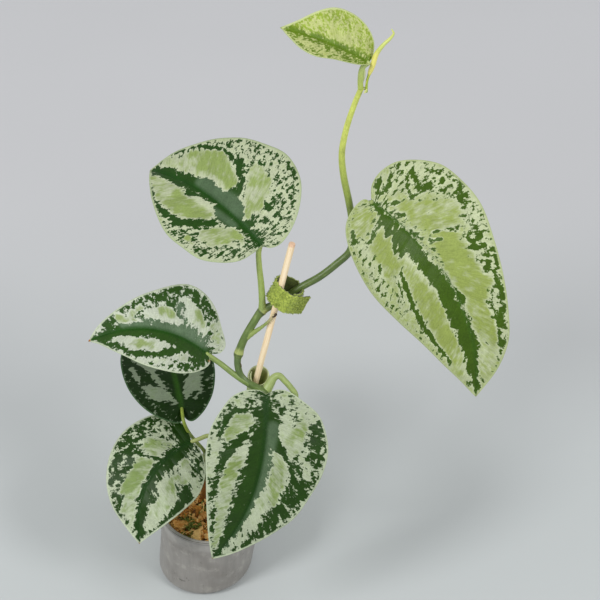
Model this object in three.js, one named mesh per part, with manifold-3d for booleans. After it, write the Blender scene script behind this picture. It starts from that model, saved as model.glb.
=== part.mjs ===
// Potted tricolor scindapsus: a young vine with seven variegated leaves in a small nursery pot,
// held to a wooden stick by a hook-and-loop tie. Millimetres, +Z up.
// The origin is the centre of the pot's flat underside.
import * as THREE from "three";
import { mergeVertices } from "three/addons/utils/BufferGeometryUtils.js";
import Module from "manifold-3d";

const wasm = await Module();
wasm.setup();

// Gap between pieces that touch
const GAP = 0.3;

// Pot
const POT_HEIGHT = 52;
const POT_BASE_RADIUS = 29;
const POT_RIM_RADIUS = 31.6;
const POT_WALL = 1.2;
const POT_LIP_HEIGHT = 2.6;
const POT_LIP_OVERHANG = 1.2;
const POT_LIP_BEVEL = 0.5;
const POT_EDGE_ROUND = 6;
const POT_SIDES = 40;
// The soft pot leans: its rim is this far to the right of its base
const POT_LEAN = 7;
const DRAIN_HOLE_RADIUS = 2.5;
const DRAIN_HOLE_CIRCLE = 15;
const DRAIN_HOLES = 4;
const DRAIN_HOLE_SIDES = 12;

// Potting mix
const MIX_TOP = 44;
const MIX_CROWN = 3;
const MIX_LUMP = 0.8;
const MIX_WAVE = 0.58;
const MIX_FINE_LUMPS = 0.6;
const MIX_RINGS = 7;
const MIX_SIDES = 32;

// Support stick, a 250 mm wooden skewer that leans to the right
const STICK_RADIUS = 1.75;
const STICK_FOOT = [1.1, -15.5, 6];
const STICK_HEAD = [56, 0, 247];
const STICK_POINT = 5;
const STICK_TIP_RADIUS = 0.5;
const STICK_BEVEL = 0.3;
const STICK_SIDES = 16;
// Sideways shift of the stick, in x and y, for each millimetre of height
const STICK_LEAN = [0, 1].map((i) => (STICK_HEAD[i] - STICK_FOOT[i]) / (STICK_HEAD[2] - STICK_FOOT[2]));

// Main stem, from its lowest point in the potting mix to the youngest node
const STEM_RADIUS_LOW = 2.8;
const STEM_RADIUS_HIGH = 1.65;
const STEM_STEPS = 72;
const STEM_SIDES = 8;
const STEM_ROUTE = [
  [-1, 8, 15],
  [0.6, 9.2, 34],
  [1.8, 9.6, 50],
  [3, 7, 68],
  [4, 4, 87],
  [11.5, -3, 101],
  [21.5, -12.5, 113],
  [31, -15, 125],
  [38.5, -16.2, 138],
  [41.8, -17, 150],
  [41.3, -17, 156],
  [36.5, -15.2, 159.8],
  [30.8, -13, 162.5],
  [27.4, -11.4, 166],
  [25.9, -9.6, 171.5],
  [26, -8, 176],
  [28.5, -5.5, 184],
  [34, -2, 194],
  [39.5, 0.8, 201.5],
  [47, 2.2, 205.5],
  [54.5, 3, 211],
  [61, 3.5, 216],
  [70.5, 5, 221.5],
  [79.5, 6.5, 229],
  [86, 8, 235.5],
  [88, 9, 244],
  [87, 9, 256],
  [85.2, 9, 267],
  [82, 8.6, 284],
  [81, 7.6, 297],
  [82.7, 6.5, 311],
  [86.2, 4.4, 326],
  [89.3, 2.5, 336.5],
];
// Nodes, the slightly swollen rings where leaves grew
const NODE_SWELL = 0.45;
const NODE_REACH = 2.4;
const STEM_NODES = [
  [5, 3.5, 90],
  [17, -7.8, 107],
  [41.8, -17, 153],
  [27, -7, 178],
  [39.5, 0.8, 201.5],
  [88, 9, 243],
];

// Roots, one tube each, joined to the stem's foot inside the potting mix
const ROOT_RADIUS = 1.1;
const ROOT_TIP_RADIUS = 0.66;
const ROOT_START = [-0.7, 8.2, 19];
const ROOT_REACH = 14;
const ROOT_FOOT = 7;
const ROOT_TURNS = [20, 95, 165, 235, 305];
// How far out and how far down each root passes, as [share of its reach, drop]
const ROOT_BENDS = [
  [0.4, 2],
  [0.8, 6],
];
const ROOT_STEPS = 8;
const ROOT_SIDES = 6;

// Aerial root, from the stem to the stick
const AERIAL_RADIUS = 0.95;
const AERIAL_STEPS = 14;
const AERIAL_SIDES = 8;
const AERIAL_ROUTE = [
  [29, -4.6, 185.6],
  [33.5, -4.4, 189.6],
  [38.5, -4.2, 193.6],
  [42.2, -4.6, 197.6],
  [44.9, -5.4, 201.6],
  [46, -5.8, 204],
];

// New shoot above the youngest leaf
const SHOOT_RADIUS = 1.25;
const SHOOT_STEPS = 20;
const SHOOT_SIDES = 8;
const SHOOT_SHARE_LOW = 0.72;
const SHOOT_TAPER = 0.75;
const SHOOT_ROUTE = [
  [92, 2.4, 334.8],
  [91.9, 2.1, 337.4],
  [92, 1.9, 340.5],
  [92.7, 1.6, 344],
  [94.2, 1.1, 349],
  [96, 0.6, 356],
  [99, 0, 361],
  [102.3, 0, 364.5],
  [103.6, 0, 367],
  [102.5, 0, 369],
];

// Small pale bract beside the youngest node
const BRACT_SIZE = [2.8, 1.6, 1.6];
const BRACT_AT = [91.2, 0.2, 335.4];
const BRACT_TILT = -20;

// Rolled leaf sheath that the stick passes through
const SHEATH_TOP = [37.2, -5.6, 160.2];
const SHEATH_SLOPE = 0.45;
const SHEATH_HEIGHT = 13;
const SHEATH_RADIUS_IN = 4.7;
const SHEATH_RADIUS_OUT = 6.3;
const SHEATH_TAPER = 1.9;
const SHEATH_THICKNESS = 0.7;
const SHEATH_START = 150;
const SHEATH_SWEEP = 480;
const SHEATH_COLUMNS = 32;
const SHEATH_ROWS = 3;

// Hook-and-loop tie round the stick and the stem
const TIE_CENTRE = [52, 0.4, 213.4];
const TIE_AXIS = [0.42, 0.04, 0.9];
const TIE_HALF_LENGTH = 7.1;
const TIE_HALF_WIDTH = 6.8;
const TIE_STRIP = 12.8;
const TIE_THICKNESS = 1.2;
// Angles round the loop: where the strip starts, where it begins to lap over its start,
// where it lies fully on top, and where its straight tail leaves
const TIE_TURNS = { start: -72, lap: 256, over: 277, tail: 303 };
const TIE_TURN_STEP = 9;
const TIE_TAIL = 8;

// Petioles. Each route starts inside the stem and ends under its blade, and is trimmed to both.
const PETIOLES = {
  petiole_a: {
    radius: [1.5, 1.2],
    route: [
      [16.6, -7.4, 107], [12.5, -4.6, 111], [7, -3.5, 112.6], [1.5, -4.5, 111], [-2.6, -5, 108.6],
    ],
  },
  petiole_b: {
    radius: [1.4, 1.3],
    route: [
      [5, 3.5, 90], [2.5, 4.4, 95], [-2, 7, 100], [-5, 9, 106], [-7.8, 10.6, 112], [-9, 12.4, 118],
    ],
  },
  petiole_c: {
    radius: [2, 1.3],
    route: [
      [28, -12, 163], [25.9, -12, 163.8], [22.3, -11, 167.9], [17.1, -10, 172.6],
      [12.5, -9.8, 176.8], [9, -10, 179.4],
    ],
  },
  petiole_d: {
    radius: [1.9, 1.4],
    route: [
      [39.7, 1, 202], [39.6, 0.6, 213], [39.2, 0.3, 222], [38.6, -0.5, 233], [38.5, -1.4, 241],
      [40, -1.6, 246],
    ],
  },
  petiole_e: {
    radius: [1.7, 1.3],
    route: [[88, 9, 243], [90.4, 7, 254], [92.6, 3.6, 265], [95, -1.5, 273], [96.3, -4, 275.3]],
  },
  petiole_f: {
    radius: [1.4, 1.2],
    route: [[89, 1.6, 337.4], [88.8, 1, 342], [89, 0.5, 346.5], [90, 0.2, 349.6], [92, 0.1, 351]],
  },
  petiole_g: {
    radius: [2.6, 1.6],
    route: [
      [40.7, -14.8, 156.2],
      [43.4, -12, 160.1],
      [45.7, -10, 163.1],
      [48.4, -10, 164.5],
      [51.7, -12, 162.3],
      [55, -14.5, 159.6],
      [57.4, -17.5, 157.4],
      [57, -20.4, 155],
      [53, -22.6, 155.6],
      [48, -23.4, 158],
      [44, -24, 161],
      [42, -24.2, 162.8],
    ],
  },
};
const PETIOLE_SIDES = 8;
const PETIOLE_STEPS = 18;

// Leaf blades. base is where the petiole meets the blade, left is the way to the blade's left side
// as seen from above with the tip ahead, and arch, droop, fold and sweep bend the blade:
// arch lifts the middle of the midrib, droop lowers the margins, fold raises both halves
// into a V, and sweep bows the midrib to the left. A rim lists [along, left] from base to tip.
const LEAF_THICKNESS = 0.9;
const LEAF_STEPS_ALONG = 24;
const LEAF_STEPS_ACROSS = 3;
// Lines from the midrib to the rim start low on the midrib, by this power of their share
const VEIN_SWEEP = 2;
// Growing a blade widens its outline about this point along its chord
const LEAF_CENTRE_SHARE = 0.4;
const FOLD_ROUND = 0.1;
const LEAVES = {
  leaf_a: {
    base: [-3, -5, 110], tip: [-32, -48, 70], left: [0.8, -0.2, 0],
    arch: 8, droop: 6, fold: 3, halfWidth: 30, sweep: -10,
    leftRim: [[1, 5], [7, 13], [15, 18], [26, 19.5], [38, 15.5], [50, 9.5]],
    rightRim: [[-6, -7.5], [-7, -17], [-4, -29], [9, -38], [25, -39], [40, -34], [53, -24], [61, -10]],
  },
  leaf_b: {
    base: [-9, 12, 119.5], tip: [-28, 88, 124], left: [-1, 0, 0],
    arch: 6, droop: 4, fold: 5, halfWidth: 28, sweep: 0,
    leftRim: [[-5, 1.6], [-8, 5], [-3, 14], [6, 23], [18, 28], [33, 30], [48, 28], [63, 18], [73, 8]],
    rightRim: [
      [-5, -1.6], [-8, -4.5], [-1, -12], [9, -20], [18, -23], [30, -25], [44, -24], [60, -16],
      [72, -6],
    ],
  },
  leaf_c: {
    base: [9.5, -10, 181], tip: [-54, -12, 191], left: [0, -0.8, -0.35],
    arch: 8, droop: 4, fold: 10, halfWidth: 29, sweep: -7,
    leftRim: [[-2, 6], [4, 14], [12, 18], [20, 19], [33, 17], [48, 10], [58, 3]],
    rightRim: [
      [-7, -2], [-10, -7], [-7, -16], [-2, -27], [5, -33], [14, -35], [33, -28], [48, -19],
      [60, -8],
    ],
  },
  leaf_d: {
    base: [40, -2, 247], tip: [-23, 60, 254], left: [-0.6, -0.5, -0.35],
    arch: 8, droop: 5, fold: 14, halfWidth: 38, sweep: -4,
    leftRim: [[0, 5], [1, 14], [6, 22], [14, 28], [26, 29], [39, 28], [63, 17], [79, 7]],
    rightRim: [
      [-4, -2], [-7, -7], [-7, -17], [-3, -29], [6, -40], [20, -45], [40, -41], [58, -33],
      [73, -21], [84, -9],
    ],
  },
  leaf_e: {
    base: [96, -5, 276], tip: [149.5, -60, 194], left: [0.75, 0.1, 0.6],
    arch: 14, droop: 10, fold: 4, halfWidth: 38, sweep: 19,
    leftRim: [
      [-7, 3], [-11, 9], [-12, 19], [-8, 29], [0, 39], [11, 45], [26, 49], [46, 47], [63, 43],
      [79, 37], [92, 30], [103, 18],
    ],
    rightRim: [[-3, -3], [-2, -9], [4, -17], [16, -21], [40, -21], [59, -15], [78, -8], [97, -3]],
  },
  leaf_f: {
    base: [92.5, 0, 352], tip: [51, -4, 372], left: [0, -0.6, -0.4],
    arch: 3, droop: 2, fold: 6, halfWidth: 16, sweep: 0,
    leftRim: [[0, 1.5], [4, 4.2], [10, 6.4], [19, 9], [29, 11.5], [36, 10], [42, 5]],
    rightRim: [[-1.2, -3], [0, -10], [5, -15], [13, -18], [23, -17], [32, -12], [40, -5]],
  },
  leaf_g: {
    base: [41.5, -25, 164], tip: [10.5, -62, 73], left: [1, 0, 0.1],
    arch: 9, droop: 8, fold: 4, halfWidth: 35, sweep: 10,
    leftRim: [
      [-4, 5], [-5, 11], [-2, 21], [3, 31], [10, 37], [20, 42], [33, 43], [48, 40], [63, 35],
      [76, 26], [88, 16], [97, 7],
    ],
    rightRim: [
      [-1, -4], [1, -11], [6, -17], [13, -20], [26, -23], [39, -22], [55, -17], [74, -11],
      [91, -5],
    ],
  },
};

// Bark chips, half sunk in the top of the potting mix: [x, y, turn, tilt, length, width, thickness],
// with x and y measured from the pot's axis
const CHIPS = [
  [-18, -12, 20, 14, 11, 6, 3.2],
  [-8, -21, 80, -12, 9, 5, 3],
  [-17, -1, 130, 10, 10, 6, 3.4],
  [9, 12, 40, -14, 12, 6, 3.4],
  [-15, 15, 130, 12, 10, 6, 3.2],
  [17, -3, 70, -8, 9, 6, 3],
  [-3, -5, 160, 10, 9, 5, 2.8],
  [0, 21, 10, 12, 10, 5, 3],
];
const CHIP_RAISE = 0.9;
const CHIP_SQUARENESS = 0.45;
const CHIP_TAPER = 0.2;

// Colours
const material = (color, roughness) => new THREE.MeshStandardMaterial({ color, roughness, metalness: 0 });
const GREY_PLASTIC = material(0x8f8b86, 0.5);
const BARK_MIX = material(0x7a4a1f, 0.95);
const BARK = material(0xb5793a, 0.9);
const PALE_WOOD = material(0xf0d3a8, 0.75);
const TIE_FABRIC = material(0x9db043, 0.95);
const STEM_GREEN = material(0x6b8550, 0.45);
const SHEATH_GREEN = material(0x9fae74, 0.6);
const ROOT_GREEN = material(0x8d9c55, 0.6);
const SHOOT_GREEN = material(0xcfd758, 0.45);
const LEAF_SILVER = material(0x9db877, 0.45);
const YOUNG_LEAF = material(0xa8b94f, 0.4);

const vec = (p) => new THREE.Vector3(p[0], p[1], p[2]);
const radians = THREE.MathUtils.degToRad;

// Keeps only the positions, and merges those that repeat
function welded(geometry) {
  const bare = new THREE.BufferGeometry();
  const soup = geometry.index ? geometry.toNonIndexed() : geometry;
  bare.setAttribute("position", soup.getAttribute("position"));
  return mergeVertices(bare, 1e-4);
}

// Turns a triangle soup into a solid. Triangles left empty by the merging are dropped.
function solidFrom(geometry) {
  const merged = welded(geometry);
  const index = merged.index.array;
  const triangles = [];
  for (let i = 0; i < index.length; i += 3) {
    const [a, b, c] = [index[i], index[i + 1], index[i + 2]];
    if (a !== b && b !== c && c !== a) triangles.push(a, b, c);
  }
  const made = (flip) => {
    const triVerts = new Uint32Array(triangles);
    if (flip) triVerts.reverse();
    const mesh = new wasm.Mesh({ numProp: 3, vertProperties: merged.attributes.position.array, triVerts });
    return new wasm.Manifold(mesh);
  };
  const solid = made(false);
  return solid.volume() > 0 ? solid : made(true);
}

function geometryFrom(solid) {
  const mesh = solid.getMesh();
  const geometry = new THREE.BufferGeometry();
  const positions = new Float32Array(mesh.vertProperties);
  geometry.setAttribute("position", new THREE.BufferAttribute(positions, mesh.numProp));
  geometry.setIndex(new THREE.BufferAttribute(new Uint32Array(mesh.triVerts), 1));
  geometry.computeVertexNormals();
  return geometry;
}

function quad(soup, a, b, c, d) {
  soup.push(...a, ...b, ...c, ...a, ...c, ...d);
}

function soupGeometry(soup) {
  const geometry = new THREE.BufferGeometry();
  geometry.setAttribute("position", new THREE.Float32BufferAttribute(soup, 3));
  return geometry;
}

// Closed solid between two grids of points, over[i][j] and under[i][j]
function thinSolid(over, under) {
  const soup = [];
  const rows = over.length - 1;
  const columns = over[0].length - 1;
  for (let i = 0; i < rows; i++)
    for (let j = 0; j < columns; j++) {
      quad(soup, over[i][j], over[i + 1][j], over[i + 1][j + 1], over[i][j + 1]);
      quad(soup, under[i][j], under[i][j + 1], under[i + 1][j + 1], under[i + 1][j]);
    }
  for (let i = 0; i < rows; i++) {
    quad(soup, over[i][0], under[i][0], under[i + 1][0], over[i + 1][0]);
    quad(soup, over[i][columns], over[i + 1][columns], under[i + 1][columns], under[i][columns]);
  }
  for (let j = 0; j < columns; j++) {
    quad(soup, over[0][j], over[0][j + 1], under[0][j + 1], under[0][j]);
    quad(soup, over[rows][j], under[rows][j], under[rows][j + 1], over[rows][j + 1]);
  }
  return solidFrom(soupGeometry(soup));
}

// Closed tube along a smooth curve through the route. radiusAt(share, point) gives its radius,
// and grow enlarges it all round, its two ends too.
function tubeSolid(route, radiusAt, steps, sides, grow = 0) {
  const curve = new THREE.CatmullRomCurve3(route.map(vec), false, "centripetal");
  const frames = curve.computeFrenetFrames(steps, false);
  const rings = [];
  for (let i = 0; i <= steps; i++) {
    const centre = curve.getPointAt(i / steps);
    const radius = radiusAt(i / steps, centre) + grow;
    const reach = { 0: -grow, [steps]: grow }[i] ?? 0;
    centre.addScaledVector(frames.tangents[i], reach);
    const ring = [];
    for (let k = 0; k < sides; k++) {
      const turn = (2 * Math.PI * k) / sides;
      const point = centre
        .clone()
        .addScaledVector(frames.normals[i], radius * Math.cos(turn))
        .addScaledVector(frames.binormals[i], radius * Math.sin(turn));
      ring.push(point.toArray());
    }
    rings.push(ring);
  }
  const soup = [];
  for (let i = 0; i < steps; i++)
    for (let k = 0; k < sides; k++) {
      const next = (k + 1) % sides;
      quad(soup, rings[i][k], rings[i][next], rings[i + 1][next], rings[i + 1][k]);
    }
  for (let k = 1; k < sides - 1; k++) {
    soup.push(...rings[0][0], ...rings[0][k + 1], ...rings[0][k]);
    soup.push(...rings[steps][0], ...rings[steps][k], ...rings[steps][k + 1]);
  }
  return solidFrom(soupGeometry(soup));
}

const between = (a, b, share) => a + (b - a) * share;

// Stem with its swollen nodes, and its roots. grow enlarges it all round.
function stemSolid(grow) {
  const nodes = STEM_NODES.map(vec);
  const radiusAt = (share, point) => {
    const swell = nodes.reduce(
      (sum, node) => sum + NODE_SWELL * Math.exp(-((point.distanceTo(node) / NODE_REACH) ** 2)),
      0,
    );
    return between(STEM_RADIUS_LOW, STEM_RADIUS_HIGH, share) + swell;
  };
  let stem = tubeSolid(STEM_ROUTE, radiusAt, STEM_STEPS, STEM_SIDES, grow);
  for (const turn of ROOT_TURNS) stem = stem.add(rootSolid(turn, grow));
  return stem;
}

function rootSolid(turn, grow) {
  const [x, y, z] = ROOT_START;
  const reach = [ROOT_REACH * Math.cos(radians(turn)), ROOT_REACH * Math.sin(radians(turn))];
  const bends = [[0, 0], ...ROOT_BENDS, [1, z - ROOT_FOOT]];
  const route = bends.map(([out, drop]) => [x + reach[0] * out, y + reach[1] * out, z - drop]);
  const radiusAt = (share) => between(ROOT_RADIUS, ROOT_TIP_RADIUS, share);
  return tubeSolid(route, radiusAt, ROOT_STEPS, ROOT_SIDES, grow);
}

function stickSolid(grow) {
  const foot = vec(STICK_FOOT);
  const head = vec(STICK_HEAD);
  const length = foot.distanceTo(head);
  const profile = [
    new THREE.Vector2(0, -grow),
    new THREE.Vector2(STICK_TIP_RADIUS + grow, -grow),
    new THREE.Vector2(STICK_RADIUS + grow, STICK_POINT),
    new THREE.Vector2(STICK_RADIUS + grow, length - STICK_BEVEL),
    new THREE.Vector2(STICK_RADIUS - STICK_BEVEL + grow, length + grow),
    new THREE.Vector2(0, length + grow),
  ];
  const geometry = new THREE.LatheGeometry(profile, STICK_SIDES);
  const way = head.clone().sub(foot).normalize();
  geometry.applyQuaternion(new THREE.Quaternion().setFromUnitVectors(new THREE.Vector3(0, 1, 0), way));
  geometry.translate(...STICK_FOOT);
  return solidFrom(geometry);
}

// A profile of [radius, z] turned about Z, with the pot's lean
function turned(profile, sides) {
  const geometry = new THREE.LatheGeometry(profile.map(([r, z]) => new THREE.Vector2(r, z)), sides);
  geometry.rotateX(Math.PI / 2);
  geometry.applyMatrix4(new THREE.Matrix4().makeShear(0, 0, 0, 0, POT_LEAN / POT_HEIGHT, 0));
  return solidFrom(geometry);
}

const potLean = (z) => (POT_LEAN * z) / POT_HEIGHT;

// Radius of the pot's straight wall at height z
const wallRadius = (z) => {
  const share = (z - POT_EDGE_ROUND) / (POT_HEIGHT - POT_EDGE_ROUND);
  return between(POT_BASE_RADIUS, POT_RIM_RADIUS - POT_LIP_OVERHANG, share);
};

// The pot's outline, moved inwards by inset, from the middle of its underside to height top
function potOutline(inset, top) {
  const foot = POT_BASE_RADIUS - POT_EDGE_ROUND;
  const round = POT_EDGE_ROUND - inset;
  const outline = [[0, inset]];
  for (const degrees of [0, 30, 60, 90]) {
    const turn = radians(degrees);
    outline.push([foot + round * Math.sin(turn), POT_EDGE_ROUND - round * Math.cos(turn)]);
  }
  outline.push([wallRadius(top) - inset, top]);
  return outline;
}

function potSolid() {
  const lipFoot = POT_HEIGHT - POT_LIP_HEIGHT;
  const pot = turned(
    [
      ...potOutline(0, lipFoot),
      [POT_RIM_RADIUS, lipFoot + POT_LIP_BEVEL],
      [POT_RIM_RADIUS, POT_HEIGHT - POT_LIP_BEVEL],
      [POT_RIM_RADIUS - POT_LIP_BEVEL, POT_HEIGHT],
      ...potOutline(POT_WALL, POT_HEIGHT).reverse(),
    ],
    POT_SIDES,
  );
  let holed = pot;
  for (let i = 0; i < DRAIN_HOLES; i++) {
    const hole = new THREE.CylinderGeometry(
      DRAIN_HOLE_RADIUS,
      DRAIN_HOLE_RADIUS,
      4 * POT_WALL,
      DRAIN_HOLE_SIDES,
    );
    hole.rotateX(Math.PI / 2);
    const turn = (2 * Math.PI * (i + 0.5)) / DRAIN_HOLES;
    hole.translate(DRAIN_HOLE_CIRCLE * Math.cos(turn), DRAIN_HOLE_CIRCLE * Math.sin(turn), POT_WALL / 2);
    holed = holed.subtract(solidFrom(hole));
  }
  return holed;
}

// Height of the potting mix at a place measured from the pot's axis: a low crown with lumps
function mixHeight(x, y) {
  const r = Math.hypot(x, y) / wallRadius(MIX_TOP);
  const [u, v] = [x * MIX_WAVE, y * MIX_WAVE];
  const lumps = Math.sin(u + 1) * Math.cos(v) + MIX_FINE_LUMPS * Math.sin(2 * u + 1.5 * v);
  return MIX_TOP + MIX_CROWN * (1 - r * r) + MIX_LUMP * lumps * (1 - r ** 4);
}

function mixSolid() {
  const inset = POT_WALL + GAP;
  const edge = wallRadius(MIX_TOP) - inset;
  const place = (radius, k, height) => {
    const turn = (2 * Math.PI * k) / MIX_SIDES;
    const [x, y] = [radius * Math.cos(turn), radius * Math.sin(turn)];
    const z = height ?? mixHeight(x, y);
    return [x + potLean(z), y, z];
  };
  const outline = potOutline(inset, MIX_TOP).slice(1, -1);
  const soup = [];
  for (let k = 0; k < MIX_SIDES; k++) {
    for (let i = 0; i < MIX_RINGS; i++) {
      const [near, far] = [(edge * i) / MIX_RINGS, (edge * (i + 1)) / MIX_RINGS];
      quad(soup, place(near, k), place(far, k), place(far, k + 1), place(near, k + 1));
    }
    const side = (j) => [place(0, j, inset), ...outline.map(([r, z]) => place(r, j, z)), place(edge, j)];
    const [here, next] = [side(k), side(k + 1)];
    for (let i = 0; i < here.length - 1; i++) quad(soup, here[i], next[i], next[i + 1], here[i + 1]);
  }
  return solidFrom(soupGeometry(soup));
}

// A rough bark chip with bevelled edges. grow enlarges it all round.
function chipSolid([x, y, turn, tilt, length, width, thickness], grow) {
  const chip = welded(new THREE.SphereGeometry(1, 10, 6));
  const place = chip.getAttribute("position");
  const square = (t) => Math.sign(t) * Math.abs(t) ** CHIP_SQUARENESS;
  for (let i = 0; i < place.count; i++) {
    place.setXYZ(
      i,
      square(place.getX(i)) * (length / 2 + grow),
      square(place.getY(i)) * (width / 2 + grow) * (1 - CHIP_TAPER * place.getX(i)),
      square(place.getZ(i)) * (thickness / 2 + grow),
    );
  }
  chip.rotateY(radians(tilt));
  chip.rotateZ(radians(turn));
  const z = mixHeight(x, y) + CHIP_RAISE;
  chip.translate(x + potLean(z), y, z);
  return solidFrom(chip);
}

// Frame of a blade: along the chord, to its left, and up from its upper face
function leafFrame(leaf) {
  const base = vec(leaf.base);
  const along = vec(leaf.tip).sub(base);
  const length = along.length();
  along.normalize();
  const left = vec(leaf.left);
  left.addScaledVector(along, -left.dot(along)).normalize();
  const up = new THREE.Vector3().crossVectors(along, left);
  return { base, along, left, up, length };
}

function rimCurve(points, length) {
  const all = [[0, 0], ...points, [length, 0]].map(([u, v]) => new THREE.Vector3(u, v, 0));
  return new THREE.CatmullRomCurve3(all, false, "centripetal");
}

// Thin closed blade. grow enlarges it all round.
function leafSolid(leaf, grow) {
  const { base, along, left, up, length } = leafFrame(leaf);
  const midribLeft = (u) => (u > 0 ? leaf.sweep * 4 * (u / length) * (1 - u / length) : 0);
  const height = (u, v) => {
    const t = u / length;
    const x = (v - midribLeft(u)) / leaf.halfWidth;
    const arch = leaf.arch * 4 * t * (t > 0 ? 1 - t : 1);
    const fold = leaf.fold * (Math.sqrt(x * x + FOLD_ROUND ** 2) - FOLD_ROUND);
    return arch - leaf.droop * x * x + fold;
  };
  const place = (u, v, lift) =>
    base
      .clone()
      .addScaledVector(along, u)
      .addScaledVector(left, v)
      .addScaledVector(up, height(u, v) + lift)
      .toArray();
  const centre = length * LEAF_CENTRE_SHARE;
  const widen = (p) => {
    const size = Math.hypot(p.x - centre, p.y);
    return [centre + ((p.x - centre) * (size + grow)) / size, (p.y * (size + grow)) / size];
  };
  const rims = { "-1": rimCurve(leaf.rightRim, length), 1: rimCurve(leaf.leftRim, length) };
  const over = [];
  const under = [];
  for (let i = 0; i <= LEAF_STEPS_ALONG; i++) {
    const share = i / LEAF_STEPS_ALONG;
    const u = length * share ** VEIN_SWEEP;
    const middle = widen({ x: u, y: midribLeft(u) });
    const rib = i === 0 || i === LEAF_STEPS_ALONG ? middle : [u, midribLeft(u)];
    const overRow = [];
    const underRow = [];
    for (let j = -LEAF_STEPS_ACROSS; j <= LEAF_STEPS_ACROSS; j++) {
      const rim = widen(rims[j < 0 ? -1 : 1].getPointAt(share));
      const out = Math.abs(j) / LEAF_STEPS_ACROSS;
      const [pu, pv] = [between(rib[0], rim[0], out), between(rib[1], rim[1], out)];
      overRow.push(place(pu, pv, grow));
      underRow.push(place(pu, pv, -LEAF_THICKNESS - grow));
    }
    over.push(overRow);
    under.push(underRow);
  }
  return thinSolid(over, under);
}

// Rolled sheet, widest at its top edge, that spirals round the stick
function sheathSolid() {
  const grid = (lift) => {
    const lines = [];
    for (let i = 0; i <= SHEATH_COLUMNS; i++) {
      const share = i / SHEATH_COLUMNS;
      const turn = radians(SHEATH_START + SHEATH_SWEEP * share);
      const line = [];
      for (let j = 0; j <= SHEATH_ROWS; j++) {
        const down = j / SHEATH_ROWS;
        const radius = between(SHEATH_RADIUS_IN, SHEATH_RADIUS_OUT, share) - SHEATH_TAPER * down + lift;
        const rim = SHEATH_SLOPE * radius * Math.sin(turn) * (1 - down);
        const drop = SHEATH_HEIGHT * down;
        line.push([
          SHEATH_TOP[0] - drop * STICK_LEAN[0] + radius * Math.cos(turn),
          SHEATH_TOP[1] - drop * STICK_LEAN[1] + radius * Math.sin(turn),
          SHEATH_TOP[2] - drop + rim,
        ]);
      }
      lines.push(line);
    }
    return lines;
  };
  return thinSolid(grid(SHEATH_THICKNESS / 2), grid(-SHEATH_THICKNESS / 2));
}

// Strip bent into a loop, whose free end laps over its start and stands off as a tail
function tieSolid() {
  const axis = vec(TIE_AXIS).normalize();
  const across = new THREE.Vector3(1, 0, 0).addScaledVector(axis, -axis.x).normalize();
  const back = new THREE.Vector3().crossVectors(axis, across);
  const { start, lap, over, tail } = TIE_TURNS;
  const ellipse = (turn, out) => [
    (TIE_HALF_LENGTH + out) * Math.cos(radians(turn)),
    (TIE_HALF_WIDTH + out) * Math.sin(radians(turn)),
  ];
  const loop = [];
  for (let turn = start; turn < tail; turn += TIE_TURN_STEP) {
    const rise = THREE.MathUtils.smoothstep(turn, lap, over);
    loop.push(ellipse(turn, rise * (TIE_THICKNESS + GAP)));
  }
  const [end, before] = [loop.at(-1), loop.at(-2)];
  const step = Math.hypot(end[0] - before[0], end[1] - before[1]);
  for (const share of [0.25, 0.5, 0.75, 1]) {
    loop.push([0, 1].map((k) => end[k] + ((end[k] - before[k]) / step) * TIE_TAIL * share));
  }
  const grid = (lift) =>
    loop.map((p, i) => {
      const a = loop[Math.max(i - 1, 0)];
      const b = loop[Math.min(i + 1, loop.length - 1)];
      const size = Math.hypot(b[0] - a[0], b[1] - a[1]);
      const out = [(b[1] - a[1]) / size, -(b[0] - a[0]) / size];
      return [-0.5, 0, 0.5].map((edge) =>
        vec(TIE_CENTRE)
          .addScaledVector(across, p[0] + out[0] * lift)
          .addScaledVector(back, p[1] + out[1] * lift)
          .addScaledVector(axis, edge * TIE_STRIP)
          .toArray(),
      );
    });
  return thinSolid(grid(TIE_THICKNESS), grid(0));
}

function bractSolid() {
  const bract = new THREE.SphereGeometry(1, 10, 8);
  bract.scale(...BRACT_SIZE.map((size) => size / 2));
  bract.rotateY(radians(BRACT_TILT));
  bract.translate(...BRACT_AT);
  return solidFrom(bract);
}

const stem = stemSolid(0);
const stemRoom = stemSolid(GAP);
const stick = stickSolid(0);
const stickRoom = stickSolid(GAP);
const petioleOf = (name, grow) => {
  const { route, radius } = PETIOLES[name];
  const radiusAt = (share) => between(radius[0], radius[1], share);
  return tubeSolid(route, radiusAt, PETIOLE_STEPS, PETIOLE_SIDES, grow);
};

const group = new THREE.Group();
const add = (name, solid, look) => {
  const mesh = new THREE.Mesh(geometryFrom(solid), look);
  mesh.name = name;
  group.add(mesh);
};

add("pot", potSolid(), GREY_PLASTIC);
let mix = mixSolid().subtract(stemRoom).subtract(stickRoom);
for (const chip of CHIPS) mix = mix.subtract(chipSolid(chip, GAP));
add("potting_mix", mix, BARK_MIX);
CHIPS.forEach((chip, i) => {
  add(`bark_chip_${i + 1}`, chipSolid(chip, 0), BARK);
});
add("support_stick", stick, PALE_WOOD);
add("main_stem", stem, STEM_GREEN);
for (const name of Object.keys(PETIOLES)) {
  const blade = leafSolid(LEAVES[name.replace("petiole", "leaf")], 2 * GAP);
  add(name, petioleOf(name, 0).subtract(stemRoom).subtract(blade), STEM_GREEN);
}
for (const [name, leaf] of Object.entries(LEAVES)) {
  add(name, leafSolid(leaf, 0), name === "leaf_f" ? YOUNG_LEAF : LEAF_SILVER);
}
const aerial = tubeSolid(AERIAL_ROUTE, () => AERIAL_RADIUS, AERIAL_STEPS, AERIAL_SIDES);
add("aerial_root", aerial.subtract(stemRoom).subtract(stickRoom), ROOT_GREEN);
const sheath = sheathSolid().subtract(stemRoom).subtract(stickRoom).subtract(petioleOf("petiole_g", GAP));
add("rolled_sheath", sheath, SHEATH_GREEN);
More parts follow.
